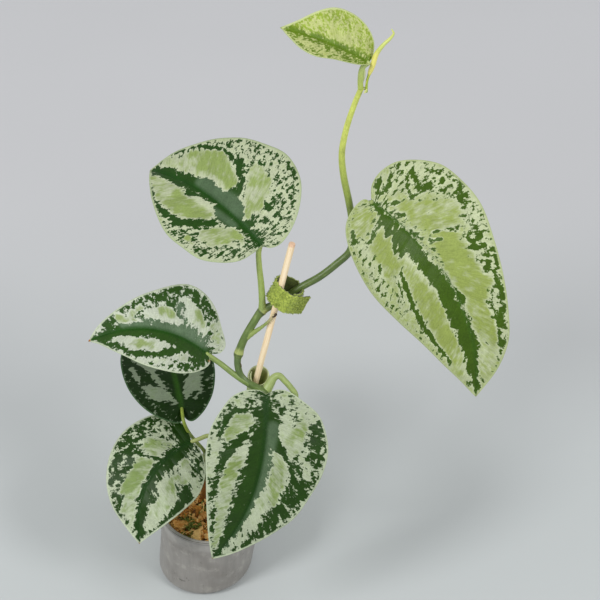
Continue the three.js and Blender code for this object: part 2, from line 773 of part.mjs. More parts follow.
const tie = tieSolid().subtract(stemRoom).subtract(stickRoom).subtract(petioleOf("petiole_d", GAP));
add("tie_band", tie, TIE_FABRIC);
const shootRadius = (share) => {
  const swell = between(SHOOT_SHARE_LOW, 1, Math.min(1, share * 3));
  return SHOOT_RADIUS * swell * (1 - SHOOT_TAPER * share ** 2);
};
const shootOf = (grow) => tubeSolid(SHOOT_ROUTE, shootRadius, SHOOT_STEPS, SHOOT_SIDES, grow);
add("new_shoot", shootOf(0).subtract(stemRoom).subtract(petioleOf("petiole_f", GAP)), SHOOT_GREEN);
add("node_bract", bractSolid().subtract(stemRoom).subtract(shootOf(GAP)), SHOOT_GREEN);

export default group;
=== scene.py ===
# Looks of the potted tricolor scindapsus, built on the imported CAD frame.
# Shapes are written in millimetres in the row frame and turned into metres when a mesh is made.
import math

import bpy
import numpy as np
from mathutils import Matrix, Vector


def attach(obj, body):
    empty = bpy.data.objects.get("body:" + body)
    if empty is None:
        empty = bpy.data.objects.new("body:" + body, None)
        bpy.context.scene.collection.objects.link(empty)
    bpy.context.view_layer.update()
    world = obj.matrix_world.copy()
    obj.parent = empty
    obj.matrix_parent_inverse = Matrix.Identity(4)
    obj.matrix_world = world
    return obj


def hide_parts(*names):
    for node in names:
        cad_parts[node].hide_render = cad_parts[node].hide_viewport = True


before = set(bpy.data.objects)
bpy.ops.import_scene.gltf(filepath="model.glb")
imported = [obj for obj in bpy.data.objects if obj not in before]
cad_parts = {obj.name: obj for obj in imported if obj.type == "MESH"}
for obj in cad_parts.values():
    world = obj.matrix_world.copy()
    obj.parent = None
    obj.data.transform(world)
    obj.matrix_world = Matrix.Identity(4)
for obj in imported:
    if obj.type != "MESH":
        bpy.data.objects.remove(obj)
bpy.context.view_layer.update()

MM = 0.001

# Shapes shared with the CAD part

POT_HEIGHT = 52
POT_BASE_RADIUS = 29
POT_RIM_RADIUS = 31.6
POT_WALL = 1.2
POT_LIP_HEIGHT = 2.6
POT_LIP_OVERHANG = 1.2
POT_EDGE_ROUND = 6
POT_LEAN = 7
MIX_TOP = 44
MIX_CROWN = 3
MIX_LUMP = 0.8
MIX_WAVE = 0.58
MIX_FINE_LUMPS = 0.6
CHIP_RAISE = 0.9
CHIPS = [
    (-18, -12, 20, 14, 11, 6, 3.2),
    (-8, -21, 80, -12, 9, 5, 3),
    (-17, -1, 130, 10, 10, 6, 3.4),
    (9, 12, 40, -14, 12, 6, 3.4),
    (-15, 15, 130, 12, 10, 6, 3.2),
    (17, -3, 70, -8, 9, 6, 3),
    (-3, -5, 160, 10, 9, 5, 2.8),
    (0, 21, 10, 12, 10, 5, 3),
]

STICK_RADIUS = 1.75
STICK_FOOT = (1.1, -15.5, 6)
STICK_HEAD = (56, 0, 247)

STEM_RADIUS = (2.8, 1.65)
STEM_ROUTE = [
    (-1, 8, 15), (0.6, 9.2, 34), (1.8, 9.6, 50), (3, 7, 68), (4, 4, 87), (11.5, -3, 101),
    (21.5, -12.5, 113), (31, -15, 125), (38.5, -16.2, 138), (41.8, -17, 150), (41.3, -17, 156),
    (36.5, -15.2, 159.8), (30.8, -13, 162.5), (27.4, -11.4, 166), (25.9, -9.6, 171.5), (26, -8, 176),
    (28.5, -5.5, 184), (34, -2, 194), (39.5, 0.8, 201.5), (47, 2.2, 205.5), (54.5, 3, 211),
    (61, 3.5, 216), (70.5, 5, 221.5), (79.5, 6.5, 229), (86, 8, 235.5), (88, 9, 244), (87, 9, 256),
    (85.2, 9, 267), (82, 8.6, 284), (81, 7.6, 297), (82.7, 6.5, 311), (86.2, 4.4, 326),
    (89.3, 2.5, 336.5),
]
STEM_NODES = [
    (5, 3.5, 90), (17, -7.8, 107), (41.8, -17, 153), (27, -7, 178), (39.5, 0.8, 201.5), (88, 9, 243),
]
ROOT_START = (-0.7, 8.2, 19)
ROOT_REACH = 14
ROOT_FOOT = 7
ROOT_TURNS = (20, 95, 165, 235, 305)

AERIAL_ROUTE = [
    (29, -4.6, 185.6), (33.5, -4.4, 189.6), (38.5, -4.2, 193.6), (42.2, -4.6, 197.6),
    (44.9, -5.4, 201.6), (46, -5.8, 204),
]
SHOOT_ROUTE = [
    (92, 2.4, 334.8), (91.9, 2.1, 337.4), (92, 1.9, 340.5), (92.7, 1.6, 344), (94.2, 1.1, 349),
    (96, 0.6, 356), (99, 0, 361), (102.3, 0, 364.5), (103.6, 0, 367), (102.5, 0, 369),
]

SHEATH_TOP = (37.2, -5.6, 160.2)
SHEATH_SLOPE = 0.45
SHEATH_HEIGHT = 13
SHEATH_RADIUS = (4.7, 6.3)
SHEATH_TAPER = 1.9
SHEATH_START = 150
SHEATH_SWEEP = 480

TIE_CENTRE = (52, 0.4, 213.4)
TIE_AXIS = (0.42, 0.04, 0.9)
TIE_HALF_LENGTH = 7.1
TIE_HALF_WIDTH = 6.8
TIE_THICKNESS = 1.2
TIE_TURNS = (-72, 256, 277, 303)
TIE_TAIL = 8
TIE_STRIP = 11.8
TIE_RAISE = 0.5

# Radius at the stem and at the blade, colour at each end, and route of each petiole
PETIOLES = {
    "petiole_a": (1.5, 1.2, "#8fa35c", "#a8b06a", [
        (16.6, -7.4, 107), (12.5, -4.6, 111), (7, -3.5, 112.6), (1.5, -4.5, 111), (-2.6, -5, 109.4)]),
    "petiole_b": (1.15, 0.95, "#8f9f52", "#8a9c30", [
        (5, 3.5, 90), (2.5, 3, 96), (-2, 2, 104.5), (-5.2, 1.2, 112), (-7.4, 2.6, 118),
        (-8.4, 7, 120.4), (-9, 11.5, 120.2)]),
    "petiole_c": (1.7, 1.5, "#6f8748", "#93a55c", [
        (34, -14.4, 160.9), (29.8, -13.4, 162.9), (26, -12.2, 165.3), (22, -11.2, 168.4),
        (17.1, -10, 172.6), (12.5, -9.8, 176.8), (9, -10, 180)]),
    "petiole_d": (1.9, 1.4, "#97ac5e", "#a8b964", [
        (39.7, 1, 202), (39.6, 0.6, 213), (39.2, 0.3, 222), (38.5, 0, 233), (38.4, 0.3, 241),
        (39.4, 0.4, 245.8)]),
    "petiole_e": (1.7, 1.3, "#94a45a", "#8f9f5e", [
        (88, 9, 243), (90.4, 7, 254), (92.6, 3.6, 265), (95, -1.5, 273), (96.2, -4.6, 275.6)]),
    "petiole_f": (1.4, 1.3, "#b3c25a", "#b6c57c", [
        (89, 1.6, 337.4), (88.8, 1, 342), (89, 0.5, 346.5), (90, 0.2, 349.6), (92.2, 0.1, 351.6)]),
    "petiole_g": (1.9, 1.45, "#a2b370", "#8fa158", [
        (40.7, -14.8, 156.2), (43.4, -12, 160.1), (45.7, -10, 163.1), (48.4, -10, 164.5),
        (51.7, -12, 162.3), (55, -14.5, 159.6), (57.4, -17.5, 157.4), (57, -20.4, 155),
        (53, -22.6, 155.6), (48, -23.2, 157.4), (44.2, -23.8, 159.8), (42, -24.4, 161.8)]),
}

# Leaf outlines and bends, as in the CAD part. A rim lists (along, left) from base to tip.
LEAVES = {
    "leaf_a": {
        "base": (-3, -5, 110), "tip": (-32, -48, 70), "left": (0.8, -0.2, 0),
        "arch": 8, "droop": 6, "fold": 3, "half_width": 30, "sweep": -10,
        "left_rim": [(1, 5), (7, 13), (15, 18), (26, 19.5), (38, 15.5), (50, 9.5)],
        "right_rim": [
            (-6, -7.5), (-7, -17), (-4, -29), (9, -38), (25, -39), (40, -34), (53, -24), (61, -10)],
    },
    "leaf_b": {
        "base": (-9, 12, 119.5), "tip": (-28, 88, 124), "left": (-1, 0, 0),
        "arch": 6, "droop": 4, "fold": 5, "half_width": 28, "sweep": 0,
        "left_rim": [
            (-5, 0.2), (-8.6, 3.5), (-4.5, 13), (5, 22.5), (18, 28), (33, 30), (48, 28), (63, 18),
            (73, 8)],
        "right_rim": [
            (-5, -0.2), (-8.8, -4), (-5.5, -11), (2, -17.5), (12, -22), (24, -24.5), (44, -24),
            (60, -16), (72, -6)],
    },
    "leaf_c": {
        "base": (9.5, -10, 181), "tip": (-54, -12, 191), "left": (0, -0.8, -0.35),
        "arch": 8, "droop": 4, "fold": 10, "half_width": 29, "sweep": -7,
        "left_rim": [(-2, 6), (4, 14), (12, 18), (20, 19), (33, 17), (48, 10), (58, 3)],
        "right_rim": [
            (-7, -2), (-10, -7), (-7, -16), (-2, -27), (5, -33), (14, -35), (33, -28), (48, -19),
            (60, -8)],
    },
    "leaf_d": {
        "base": (40, -2, 247), "tip": (-23, 60, 254), "left": (-0.6, -0.5, -0.35),
        "arch": 8, "droop": 5, "fold": 14, "half_width": 38, "sweep": -4,
        "left_rim": [(0, 5), (1, 14), (6, 22), (14, 28), (26, 29), (39, 28), (63, 17), (79, 7)],
        "right_rim": [
            (-4, -2), (-7, -7), (-7, -17), (-3, -29), (6, -40), (20, -45), (40, -41), (58, -33),
            (73, -21), (84, -9)],
    },
    "leaf_e": {
        "base": (96, -5, 276), "tip": (149.5, -60, 194), "left": (0.75, 0.1, 0.6),
        "arch": 14, "droop": 10, "fold": 4, "half_width": 38, "sweep": 19,
        "left_rim": [
            (-7, 3), (-11, 9), (-12, 19), (-8, 29), (0, 39), (11, 45), (26, 49), (46, 47), (63, 43),
            (79, 37), (92, 30), (103, 18)],
        "right_rim": [
            (-3, -3), (-2, -9), (4, -17), (16, -21), (40, -21), (59, -15), (78, -8), (97, -3)],
    },
    "leaf_f": {
        "base": (92.5, 0, 352), "tip": (51, -4, 372), "left": (0, -0.6, -0.4),
        "arch": 3, "droop": 2, "fold": 6, "half_width": 16, "sweep": 0,
        "left_rim": [(0, 1.5), (4, 4.2), (10, 6.4), (19, 9), (29, 11.5), (36, 10), (42, 5)],
        "right_rim": [(-1.2, -3), (0, -10), (5, -15), (13, -18), (23, -17), (32, -12), (40, -5)],
    },
    "leaf_g": {
        "base": (41.5, -25, 164), "tip": (10.5, -62, 73), "left": (1, 0, 0.1),
        "arch": 9, "droop": 8, "fold": 4, "half_width": 35, "sweep": 10,
        "left_rim": [
            (-4, 5), (-5, 11), (-2, 21), (3, 31), (10, 37), (20, 42), (33, 43), (48, 40), (63, 35),
            (76, 26), (88, 16), (97, 7)],
        "right_rim": [
            (-1, -4), (1, -11), (6, -17), (13, -20), (26, -23), (39, -22), (55, -17), (74, -11),
            (91, -5)],
    },
}

# Variegation, placed mark by mark. tone runs from -1, surely dark green, over 0, speckled, to 1, surely
# pale, and green from 0, silver, to 1, light green. base and edge are the tones away from and at
# the rim. A mark is (along, left, radius) to (along, left, radius), then its tone and green.
# Later marks lie over earlier ones.
LEAF_MARKS = {
    "leaf_a": {"base": -0.15, "edge": 0.2, "green": 0.3, "marks": [
        (2, -28, 5, 20, -32, 6, -0.25, 0.2), (20, -30, 6, 36, -28, 5, -0.4, 0.2),
        (38, -25, 4, 56, -18, 3, -0.4, 0.2), (2, -14, 3, 5, -22, 4, 0.2, 0.4),
        (14, 12, 2, 26, 13, 2.5, -0.35, 0.2), (30, 14, 2.5, 42, 11.5, 2.2, -0.9, 0),
        (42, 11, 2, 60, 4, 1.3, -0.6, 0), (18, 15, 1.3, 24, 16, 1.5, 0.6, 0.2),
        (12, 4, 2, 20, 8, 4, 0.9, 0.4), (25, 2, 2.5, 35, 5, 4.6, 1, 0.7),
        (35, 4, 4.2, 51, 2.5, 3.3, 1, 0.15), (22, -1, 1.4, 32, -2, 1.6, 1, 0),
        (9, -9, 2, 12, -20, 3.5, 0.9, 0.8), (13, -13, 3, 16, -20, 3, 0.9, 0.5),
        (18, -14, 2.5, 25, -18, 5, 1, 0.9), (25, -16, 4.5, 40, -18, 5.5, 1, 0.8),
        (40, -14, 3, 52, -14, 4, 0.9, 0.4), (46, -10, 2, 57, -8, 2, 0.8, 0.1),
        (0, -4, 4, -3, -11, 3, -1, 0), (4, -1, 3, 16, -4, 3.6, -1, 0),
        (14, -6, 4, 25, -7.5, 2.8, -1, 0), (25, -8, 2.6, 40, -8, 2.3, -1, 0),
        (40, -8, 2.3, 55, -4.5, 2.2, -1, 0), (55, -4.5, 2.2, 64, -1, 1.2, -1, 0),
        (17, -9, 1.2, 20, -24, 0.8, -0.9, 0), (15.5, -9, 0.5, 18, -20, 0.6, 1, 0)]},
    "leaf_b": {"base": -0.75, "edge": -0.45, "green": 0.1, "marks": [
        (0, 12, 2, 8, 20, 2.5, -0.4, 0), (5, -14, 2, 16, -19, 2.5, -0.4, 0),
        (6, 3, 1.5, 11, 11, 3.6, 1, 0.1), (10, 9, 3.8, 16, 17, 3.2, 1, 0.1),
        (18, 9, 1.3, 30, 13, 3, 1, 0.1), (20, 21, 1, 32, 24, 1.6, 0.8, 0.1),
        (36, 14, 4, 42, 20, 3, 1, 0.1), (8, -4, 1.5, 13, -9, 3.5, 1, 0.1),
        (14, -8, 4, 22, -13, 3.4, 1, 0.1), (5, -9, 1, 9, -13, 1.5, 0.6, 0.1),
        (26, -6, 2, 36, -11, 3, 1, 0.1), (45, -8, 3, 58, -8, 3, 1, 0.1),
        (46, 8, 4, 60, 7, 4, 1, 0.1), (0, 0, 1.8, 74, 0, 1.6, -1, 0)]},
    "leaf_c": {"base": -0.35, "edge": 0.1, "green": 0.25, "marks": [
        (5, -26, 2, 18, -31, 2.5, -0.4, 0), (28, -24, 3, 42, -19, 2.5, -0.35, 0),
        (42, -18, 2, 56, -10, 2, -0.4, 0), (14, -18, 2, 18, -25, 2.5, -0.45, 0),
        (0, -10, 1.5, 3, -24, 2.5, -0.3, 0), (20, -22, 1, 40, -16, 1, -0.8, 0),
        (40, -16, 1, 55, -8, 0.8, -0.7, 0), (-5, -6, 3, -4, -16, 3, 0.75, 0.5),
        (3, -12, 2.5, 10, -18, 4.2, 1, 0.1), (10, -20, 3, 13, -25, 2.2, 1, 0),
        (4, -16, 1.6, 7, -20, 1.6, 1, 1), (18, -13, 2, 24, -16, 3.5, 1, 0),
        (24, -16, 3.5, 34, -16, 2.4, 1, 0), (21, -17, 1.8, 27, -18, 2, 1, 1),
        (40, -11, 1, 50, -12, 2.4, 0.9, 0.7), (34, -20, 1, 42, -15.5, 1.4, 0.8, 0.7),
        (12, 8, 3, 22, 12, 3, 0.5, 0.3), (22, 14, 2.5, 36, 13, 2, 0.7, 0),
        (14, 2, 2, 24, 8.5, 1.5, -1, 0), (24, 8.5, 1.5, 38, 10, 1.2, -1, 0),
        (38, 10, 1.2, 50, 5, 1, -0.9, 0), (50, 5, 1, 60, 1.5, 1, -0.8, 0),
        (20, 1, 1.5, 30, 3, 3.5, 1, 0), (30, 4, 3.8, 40, 4, 3.8, 1, 0),
        (40, 3, 3, 50, -1, 1.8, 1, 0), (32, 4, 1.8, 39, 4, 2, 1, 1),
        (-1, 3, 2, 6, 3, 3, -0.9, 0), (0, 0, 2, 12, -4, 5, -1, 0),
        (12, -5, 5, 22, -7, 4, -1, 0), (10, -1, 4, 25, -4, 3, -1, 0),
        (25, -6, 3.6, 40, -6.5, 2.8, -1, 0), (40, -6, 2.8, 52, -4, 2.4, -1, 0),
        (52, -3.5, 2.2, 63, -0.5, 1, -1, 0)]},
    "leaf_d": {"base": 0.15, "edge": 0.4, "green": 0.4, "marks": [
        (2, -14, 4, 10, -36, 4, 0.1, 0.4), (16, -36, 3, 44, -36, 3, 0.15, 0.5),
        (16, 23, 2, 30, 24, 2, -0.35, 0.2), (3, 5, 1, 6, 16, 2, -0.1, 0.3),
        (24, 24, 1, 28, 23, 1.4, 1, 1), (12, 4, 3, 20, 13, 5.5, 1, 0.7),
        (26, 7, 2, 31, 14, 2, -1, 0), (31, 14, 2, 40, 19, 1.7, -1, 0),
        (40, 19, 1.7, 55, 18.5, 1.1, -0.9, 0), (55, 18.5, 1, 80, 7.5, 0.8, -0.7, 0),
        (33, 6, 3.6, 45, 9.5, 6.5, 1, 1), (45, 9, 6.5, 60, 8.5, 6, 1, 0.9),
        (60, 8, 5, 78, 3.5, 3, 0.9, 0.4), (34, 2, 2.5, 47, 1, 3, 1, 0),
        (27, -13, 1.4, 30, -21, 1, -1, 0), (33, -22, 1.8, 38, -27, 1.8, -1, 0),
        (38, -27, 1.2, 52, -28, 0.9, -1, 0), (52, -28, 0.9, 66, -24, 0.8, -1, 0),
        (66, -24, 0.7, 82, -12, 0.7, -0.8, 0), (36, -15, 5, 50, -19, 7.5, 1, 1),
        (50, -19, 7.5, 66, -15, 5.5, 1, 0.9), (66, -13, 4.5, 79, -8, 2.6, 1, 0.3),
        (36, -12, 2.5, 60, -10, 2, 1, 0), (15, -10, 4, 20, -24, 5.5, 1, 0.8),
        (20, -20, 5, 26, -28, 3.5, 1, 0.5), (9, -17, 1.2, 9.5, -22, 1, -0.9, 0),
        (11, -5, 1.6, 13, -11, 1, -0.6, 0), (2, -0.5, 2, 20, -2.5, 3.2, -1, 0),
        (21, 1, 2.6, 27, 0.5, 2.6, -1, 0), (24, -6, 5, 30, -12, 3, -1, 0),
        (30, -6, 5, 48, -7, 4.4, -1, 0), (48, -6, 4.6, 60, -4, 3.4, -1, 0),
        (48, 0, 2, 51, 0.5, 1.8, -1, 0), (60, -3.5, 3.3, 86, -1, 2.3, -1, 0)]},
    "leaf_e": {"base": 0.4, "edge": 0.5, "green": 0.7, "marks": [
        (-6, 22, 6, 6, 36, 6, 0.12, 0.5), (8, 41, 5, 32, 44, 5, 0.1, 0.5),
        (36, 42, 5, 92, 31, 4, 0.15, 0.4), (-4, 12, 4, -2, 20, 4, 0.25, 0.4),
        (14, 43, 1.6, 23, 41, 1.3, -0.5, 0), (35, 42, 1.2, 48, 40.5, 1.2, -0.6, 0),
        (38, 37, 1.2, 43, 38, 1.2, -0.8, 0), (48, 45.5, 1, 57, 43, 1.1, -0.6, 0),
        (53, 40, 1.2, 56, 35.5, 1.2, -0.8, 0), (58, 40, 0.9, 72, 38.5, 1, -0.7, 0),
        (66, 31, 1, 70, 27, 1, -0.8, 0), (68, 30, 0.9, 76, 30, 0.9, -0.8, 0),
        (76, 35, 1.2, 82, 30, 1.5, -0.8, 0), (82, 30, 0.9, 97, 23, 0.7, -0.7, 0),
        (5, 30, 1.3, 7, 20, 1.1, -0.7, 0), (-4, 25, 1, 2, 24, 0.8, -0.6, 0),
        (-7, 14, 1, -3, 12, 0.8, -0.6, 0), (1, 20, 0.8, 5, 19.5, 1, -0.7, 0),
        (-8, 8, 1.1, -3, 5, 1.1, -0.7, 0), (3, 36, 0.9, 10, 37, 1, -0.5, 0),
        (18, 30, 0.8, 20, 34, 0.8, -0.6, 0), (25, 25, 0.7, 31, 33, 0.8, -0.5, 0),
        (12, 16, 4, 24, 29, 6, 1, 0.8), (14, 20, 4, 22, 36, 3.5, 0.9, 0.6),
        (30, 26, 5, 60, 29, 6.5, 1, 1), (44, 24, 3, 60, 34, 3, 1, 0.8),
        (60, 28, 4.5, 86, 22.5, 3.6, 1, 0.8), (86, 20, 3, 100, 12, 3.6, 0.8, 0.4),
        (27, 22.5, 0.7, 30, 31, 0.6, -0.8, 0), (30, 20, 0.7, 32, 25, 0.5, -0.8, 0),
        (35, 4, 3.6, 60, 6, 4.5, 1, 0.5), (50, 4, 4.5, 86, 3, 4, 1, 1),
        (34, 7, 1.6, 50, 10, 1.6, 1, 0), (86, 3, 3, 100, 1.5, 2.4, 0.8, 0.4),
        (20, -3, 5, 32, -6, 4.4, 1, 0.9), (5, -7, 4.5, 9, -13, 3.5, 0.9, 0.6),
        (38, -1, 0.8, 55, -4, 1, -0.9, 0), (55, -4, 1, 70, -3.6, 1, -0.9, 0),
        (70, -3.6, 0.9, 88, -1, 0.8, -0.8, 0), (40, -4, 0.6, 50, -6.5, 0.6, -0.5, 0),
        (30, -10, 1, 36, -12, 0.9, -0.7, 0), (32, -16, 0.9, 43, -16, 0.8, -0.7, 0),
        (9, -15, 0.9, 14, -17, 1.1, -0.8, 0), (22, -13, 0.9, 27, -15.5, 1, -0.6, 0),
        (14, -5, 0.8, 18, -11, 0.8, -0.5, 0), (18, -14, 3, 48, -14, 2.6, 0.35, 0.3),
        (0, 0, 1, 6, 2, 1.4, -1, 0), (6, 2, 1.4, 13, 5, 2, -1, 0),
        (2, 1, 0.6, 6, 12, 0.7, -0.9, 0), (4, 2, 0.6, 14, 13, 0.8, -0.8, 0),
        (1, 1, 0.5, -4, 12, 0.5, -0.6, 0), (13, 5, 2, 22, 8.5, 2.4, -1, 0),
        (22, 8.5, 2.6, 32, 10.5, 2.8, -1, 0), (32, 10.5, 2.8, 46, 12.5, 3.4, -1, 0),
        (22, 12, 1, 26, 15, 1, -0.9, 0), (46, 13.5, 3.4, 58, 15, 3.8, -1, 0),
        (60, 19.5, 1.2, 64, 20, 1.2, -1, 0), (58, 14.5, 3.6, 72, 13.5, 3.6, -1, 0),
        (72, 13.5, 3.6, 85, 12.5, 4, -1, 0), (85, 11.5, 3.4, 96, 7.5, 2.4, -1, 0),
        (96, 7.5, 2.4, 110, 1.5, 1, -1, 0), (24, 6, 1.6, 31, 2.5, 1, -1, 0),
        (20, 5, 1.4, 27, 0.5, 0.8, -1, 0), (10, 3, 1.6, 13, -2, 0.8, -1, 0),
        (14, 4, 1.4, 18, 0.5, 0.8, -1, 0)]},
    "leaf_f": {"base": -0.15, "edge": -0.2, "green": 0.35, "marks": [
        (4, -7, 3, 12, -12, 4, 0.2, 0.4), (12, -5, 2, 22, -6, 2.8, 0.6, 0.1),
        (25, -8, 2, 34, -5, 2, 0.25, 0.1), (16, 5, 1, 25, 7.5, 1.6, 0.5, 0.1),
        (28, 6, 1.6, 35, 4.5, 1.6, 0.6, 0.1), (6, 3, 1, 14, 5, 1, -0.3, 0),
        (0, 0, 1.4, 42, 0, 1.2, -1, 0.6)]},
    "leaf_g": {"base": -0.15, "edge": 0.15, "green": 0.3, "marks": [
        (-3, 8, 2.5, 4, 28, 4, 0.5, 0.2), (10, 33, 3, 26, 34, 3, -0.6, 0),
        (14, 39, 2, 56, 37, 2, -0.15, 0), (40, 35, 3, 48, 33, 4, -0.7, 0),
        (2, -8, 2, 8, -13, 3, 0.4, 0.2), (30, 33, 1.8, 36, 35, 2, 0.9, 0.2),
        (22, 30, 1.5, 28, 30, 1.3, 0.7, 0), (10, 24, 3.2, 20, 22, 5, 1, 0.6),
        (20, 24, 3.6, 27, 22.5, 2.5, 1, 0.3), (8, 14, 2.4, 16, 16, 3, 0.9, 0.1),
        (30, 17, 3, 40, 22, 4.6, 1, 0.5), (40, 20.5, 4.5, 50, 19.5, 4, 1, 0.8),
        (50, 18.5, 3.6, 56, 22, 2.6, 1, 0.5), (52, 15, 2.8, 62, 15.5, 3.6, 1, 0.1),
        (62, 16, 3.8, 74, 13.5, 3.6, 1, 0), (76, 12, 3.6, 93, 7, 2.6, 0.6, 0.1),
        (36, 25, 1, 42, 26.5, 1.4, 0.9, 0), (34, 27, 2, 48, 30, 3, -0.5, 0),
        (48, 29.5, 3.2, 60, 27.5, 3.2, -0.55, 0), (60, 27, 3.2, 72, 21.5, 2.6, -0.55, 0),
        (72, 21, 2.2, 88, 15, 1.7, -0.45, 0), (14, -5, 3, 24, -9.5, 4.2, 1, 0.5),
        (16, -11, 3, 26, -13, 2.6, 1, 0.7), (29, -1.5, 2.4, 38, -3.5, 3.2, 1, 0.1),
        (38, -4.5, 3.4, 52, -6, 3.6, 1, 0.8), (52, -4, 3, 66, -5, 3.4, 1, 0.5),
        (66, -3.5, 3, 92, -1.5, 2, 0.9, 0.5), (30, -18, 2.2, 50, -16, 2.2, 0.9, 0.1),
        (24, -4, 2.4, 29, -7, 1.8, -1, 0), (29, -7, 1.8, 37, -10.5, 1.8, -1, 0),
        (37, -10.5, 1.7, 47, -12, 1.3, -1, 0), (47, -12, 1, 62, -11, 0.8, -0.8, 0),
        (70, -8, 0.9, 84, -5, 0.7, -0.7, 0), (11, -8, 0.9, 13, -14, 1.3, -0.9, 0),
        (13, -14, 1.3, 20, -17, 1.3, -0.8, 0), (20, -16.5, 0.9, 30, -17, 0.9, -0.7, 0),
        (9, 1, 2, 11, -3, 1.4, -1, 0), (21, 10, 2.2, 25, 17, 1.6, -1, 0),
        (25, 17, 1.5, 32, 23, 1.3, -0.8, 0), (0, 0.5, 1.4, 10, 3.5, 3.2, -1, 0),
        (10, 4, 3.4, 20, 6, 4.6, -1, 0), (13, 9, 2.4, 22, 10, 2.8, -1, 0),
        (20, 5.5, 4.8, 35, 7, 5.6, -1, 0), (35, 7, 5.6, 50, 8.5, 5.8, -1, 0),
        (50, 7, 5.4, 65, 7, 4.6, -1, 0), (65, 6.5, 4.2, 80, 5, 3, -1, 0),
        (80, 5, 2.8, 101, 0.8, 1, -1, 0)]},
}

# Painted reflection: grey over the dark green on one side of a midrib, ending at the fold. On leaf_f
# the same mark lays its own yellow-green over one half instead. Each mark is (along, left, radius)
# to (along, left, radius)
LEAF_PAINTED_SHEEN_AND_TINT = {
    "leaf_a": [(14, -2, 3, 40, -5, 3)],
    "leaf_b": [],
    "leaf_c": [(4, -6, 5, 22, -11, 4), (22, -11, 4, 46, -9, 2.2), (13, -12, 3, 17, -22, 2)],
    "leaf_d": [(22, -7, 5, 50, -8, 4), (18, 1, 2, 40, 2, 2)],
    "leaf_e": [],
    "leaf_f": [(2, -12, 9, 38, -9, 7)],
    "leaf_g": [(16, 9, 3.5, 50, 12, 4.5), (50, 10, 4.5, 92, 4, 2)],
}

# Each leaf's colours: dark green, its vivid midrib, silver, light green and the rim's. leaf_b's are
# all darker: its own dark green with painted shade for the shade that leaf_c casts on it
PALETTES = {
    "leaf_a": ("#203d0d", "#143a06", "#b0ba9e", "#788c50", "#bfc9ae"),
    # leaf_b: painted shade from leaf_c over its own darker colours
    "leaf_b": ("#112904", "#264c08", "#75826b", "#62754f", "#3f5c3a"),
    "leaf_c": ("#2c4b18", "#1b4808", "#bec5b2", "#8a9b62", "#bfc9ae"),
    "leaf_d": ("#22430f", "#184406", "#b6be9e", "#869856", "#abb98f"),
    "leaf_e": ("#3d5812", "#395a14", "#b9c29c", "#8c9b50", "#aeba88"),
    "leaf_f": ("#647e1e", "#5e7c12", "#bbc280", "#8c9d36", "#c6d096"),
    "leaf_g": ("#223e0e", "#153a06", "#abb599", "#778a4c", "#b9c4a6"),
}

# How much finer a leaf's marks are, how soft their edges, how strong its painted reflection, and the
# reflection's colour; on leaf_f these two are the strength and colour of its own yellow-green tint
PLAIN_MARKS_PAINTED_SHEEN_AND_TINT = (1, 0.22, 0.5, "#657a60")
LEAF_MARKS_PAINTED_SHEEN_AND_TINT = {
    "leaf_c": (1, 0.22, 0.7, "#657a60"),
    "leaf_f": (1.7, 0.5, 1, "#8fa636"),
}

# Dry brown spots: the share of the leaf's length that a spot is measured from, along and left from
# there, the radii at which it ends and is full, and its strength
LEAF_BROWN = {
    "leaf_a": [(1, 0, 0, 1.6, 0.4, 0.6)],
    "leaf_c": [(1, 0, 0, 1.8, 0.6, 1), (0, -1.5, 5, 1.6, 0.6, 0.5)],
    "leaf_g": [(1, 0, 0, 1.6, 0.4, 0.6)],
}


# Curves and meshes

# Shares of a tube's own radius in the rings that round off its end, and how far they reach
CAP_RADII = np.array([1.0, 0.86, 0.55, 0.02])
CAP_REACH = 0.7


def unit(vectors):
    return vectors / np.linalg.norm(vectors, axis=-1, keepdims=True)


def lerp(a, b, share):
    return a + (b - a) * share


def smooth(low, high, value):
    share = np.clip((value - low) / (high - low), 0, 1)
    return share * share * (3 - 2 * share)


def bell(value, middle, width):
    """1 at the middle, and next to nothing two widths from it."""
    return np.exp(-(((value - middle) / width) ** 2))


def spline(points, per_span=24):
    """Points along the centripetal Catmull-Rom curve through these points."""
    p = np.array(points, float)
    p = np.vstack([2 * p[0] - p[1], p, 2 * p[-1] - p[-2]])
    t = np.linspace(0, 1, per_span, endpoint=False)[:, None]
    spans = []
    for p0, p1, p2, p3 in zip(p, p[1:], p[2:], p[3:]):
        d0, d1, d2 = (math.sqrt(np.linalg.norm(b - a)) for a, b in ((p0, p1), (p1, p2), (p2, p3)))
        start = ((p1 - p0) / d0 - (p2 - p0) / (d0 + d1) + (p2 - p1) / d1) * d1
        end = ((p2 - p1) / d1 - (p3 - p1) / (d1 + d2) + (p3 - p2) / d2) * d1
        spans.append(
            (2 * t**3 - 3 * t**2 + 1) * p1
            + (t**3 - 2 * t**2 + t) * start
            + (3 * t**2 - 2 * t**3) * p2
            + (t**3 - t**2) * end
        )
    spans.append(p[-2:-1])
    return np.vstack(spans)


def lengths_along(line):
    return np.concatenate([[0], np.cumsum(np.linalg.norm(np.diff(line, axis=0), axis=1))])


def at_shares(line, shares):
    """Points of a line at shares of its length."""
    far = lengths_along(line)
    return np.stack([np.interp(shares, far / far[-1], line[:, k]) for k in range(line.shape[1])], 1)


def even_line(route, count):
    """Evenly spaced points on the curve through a route, and their shares of its length."""
    share = np.linspace(0, 1, count)
    return at_shares(spline(route), share), share


def full_turn(count):
    """Angles once round, without the one that would repeat the first."""
    return np.linspace(0, 2 * math.pi, count, endpoint=False)


def ripple(points, wavelength, seed):
    """A smooth wavy field from -1 to 1 over points, with features about wavelength across."""
    rng = np.random.default_rng(seed)
    waves = rng.normal(size=(7, points.shape[-1]))
    waves = unit(waves) * rng.uniform(0.7, 1.4, (7, 1)) * 2 * math.pi / wavelength
    shifts = rng.uniform(0, 2 * math.pi, 7)
    return np.sin(points @ waves.T + shifts).mean(axis=-1) * 1.6


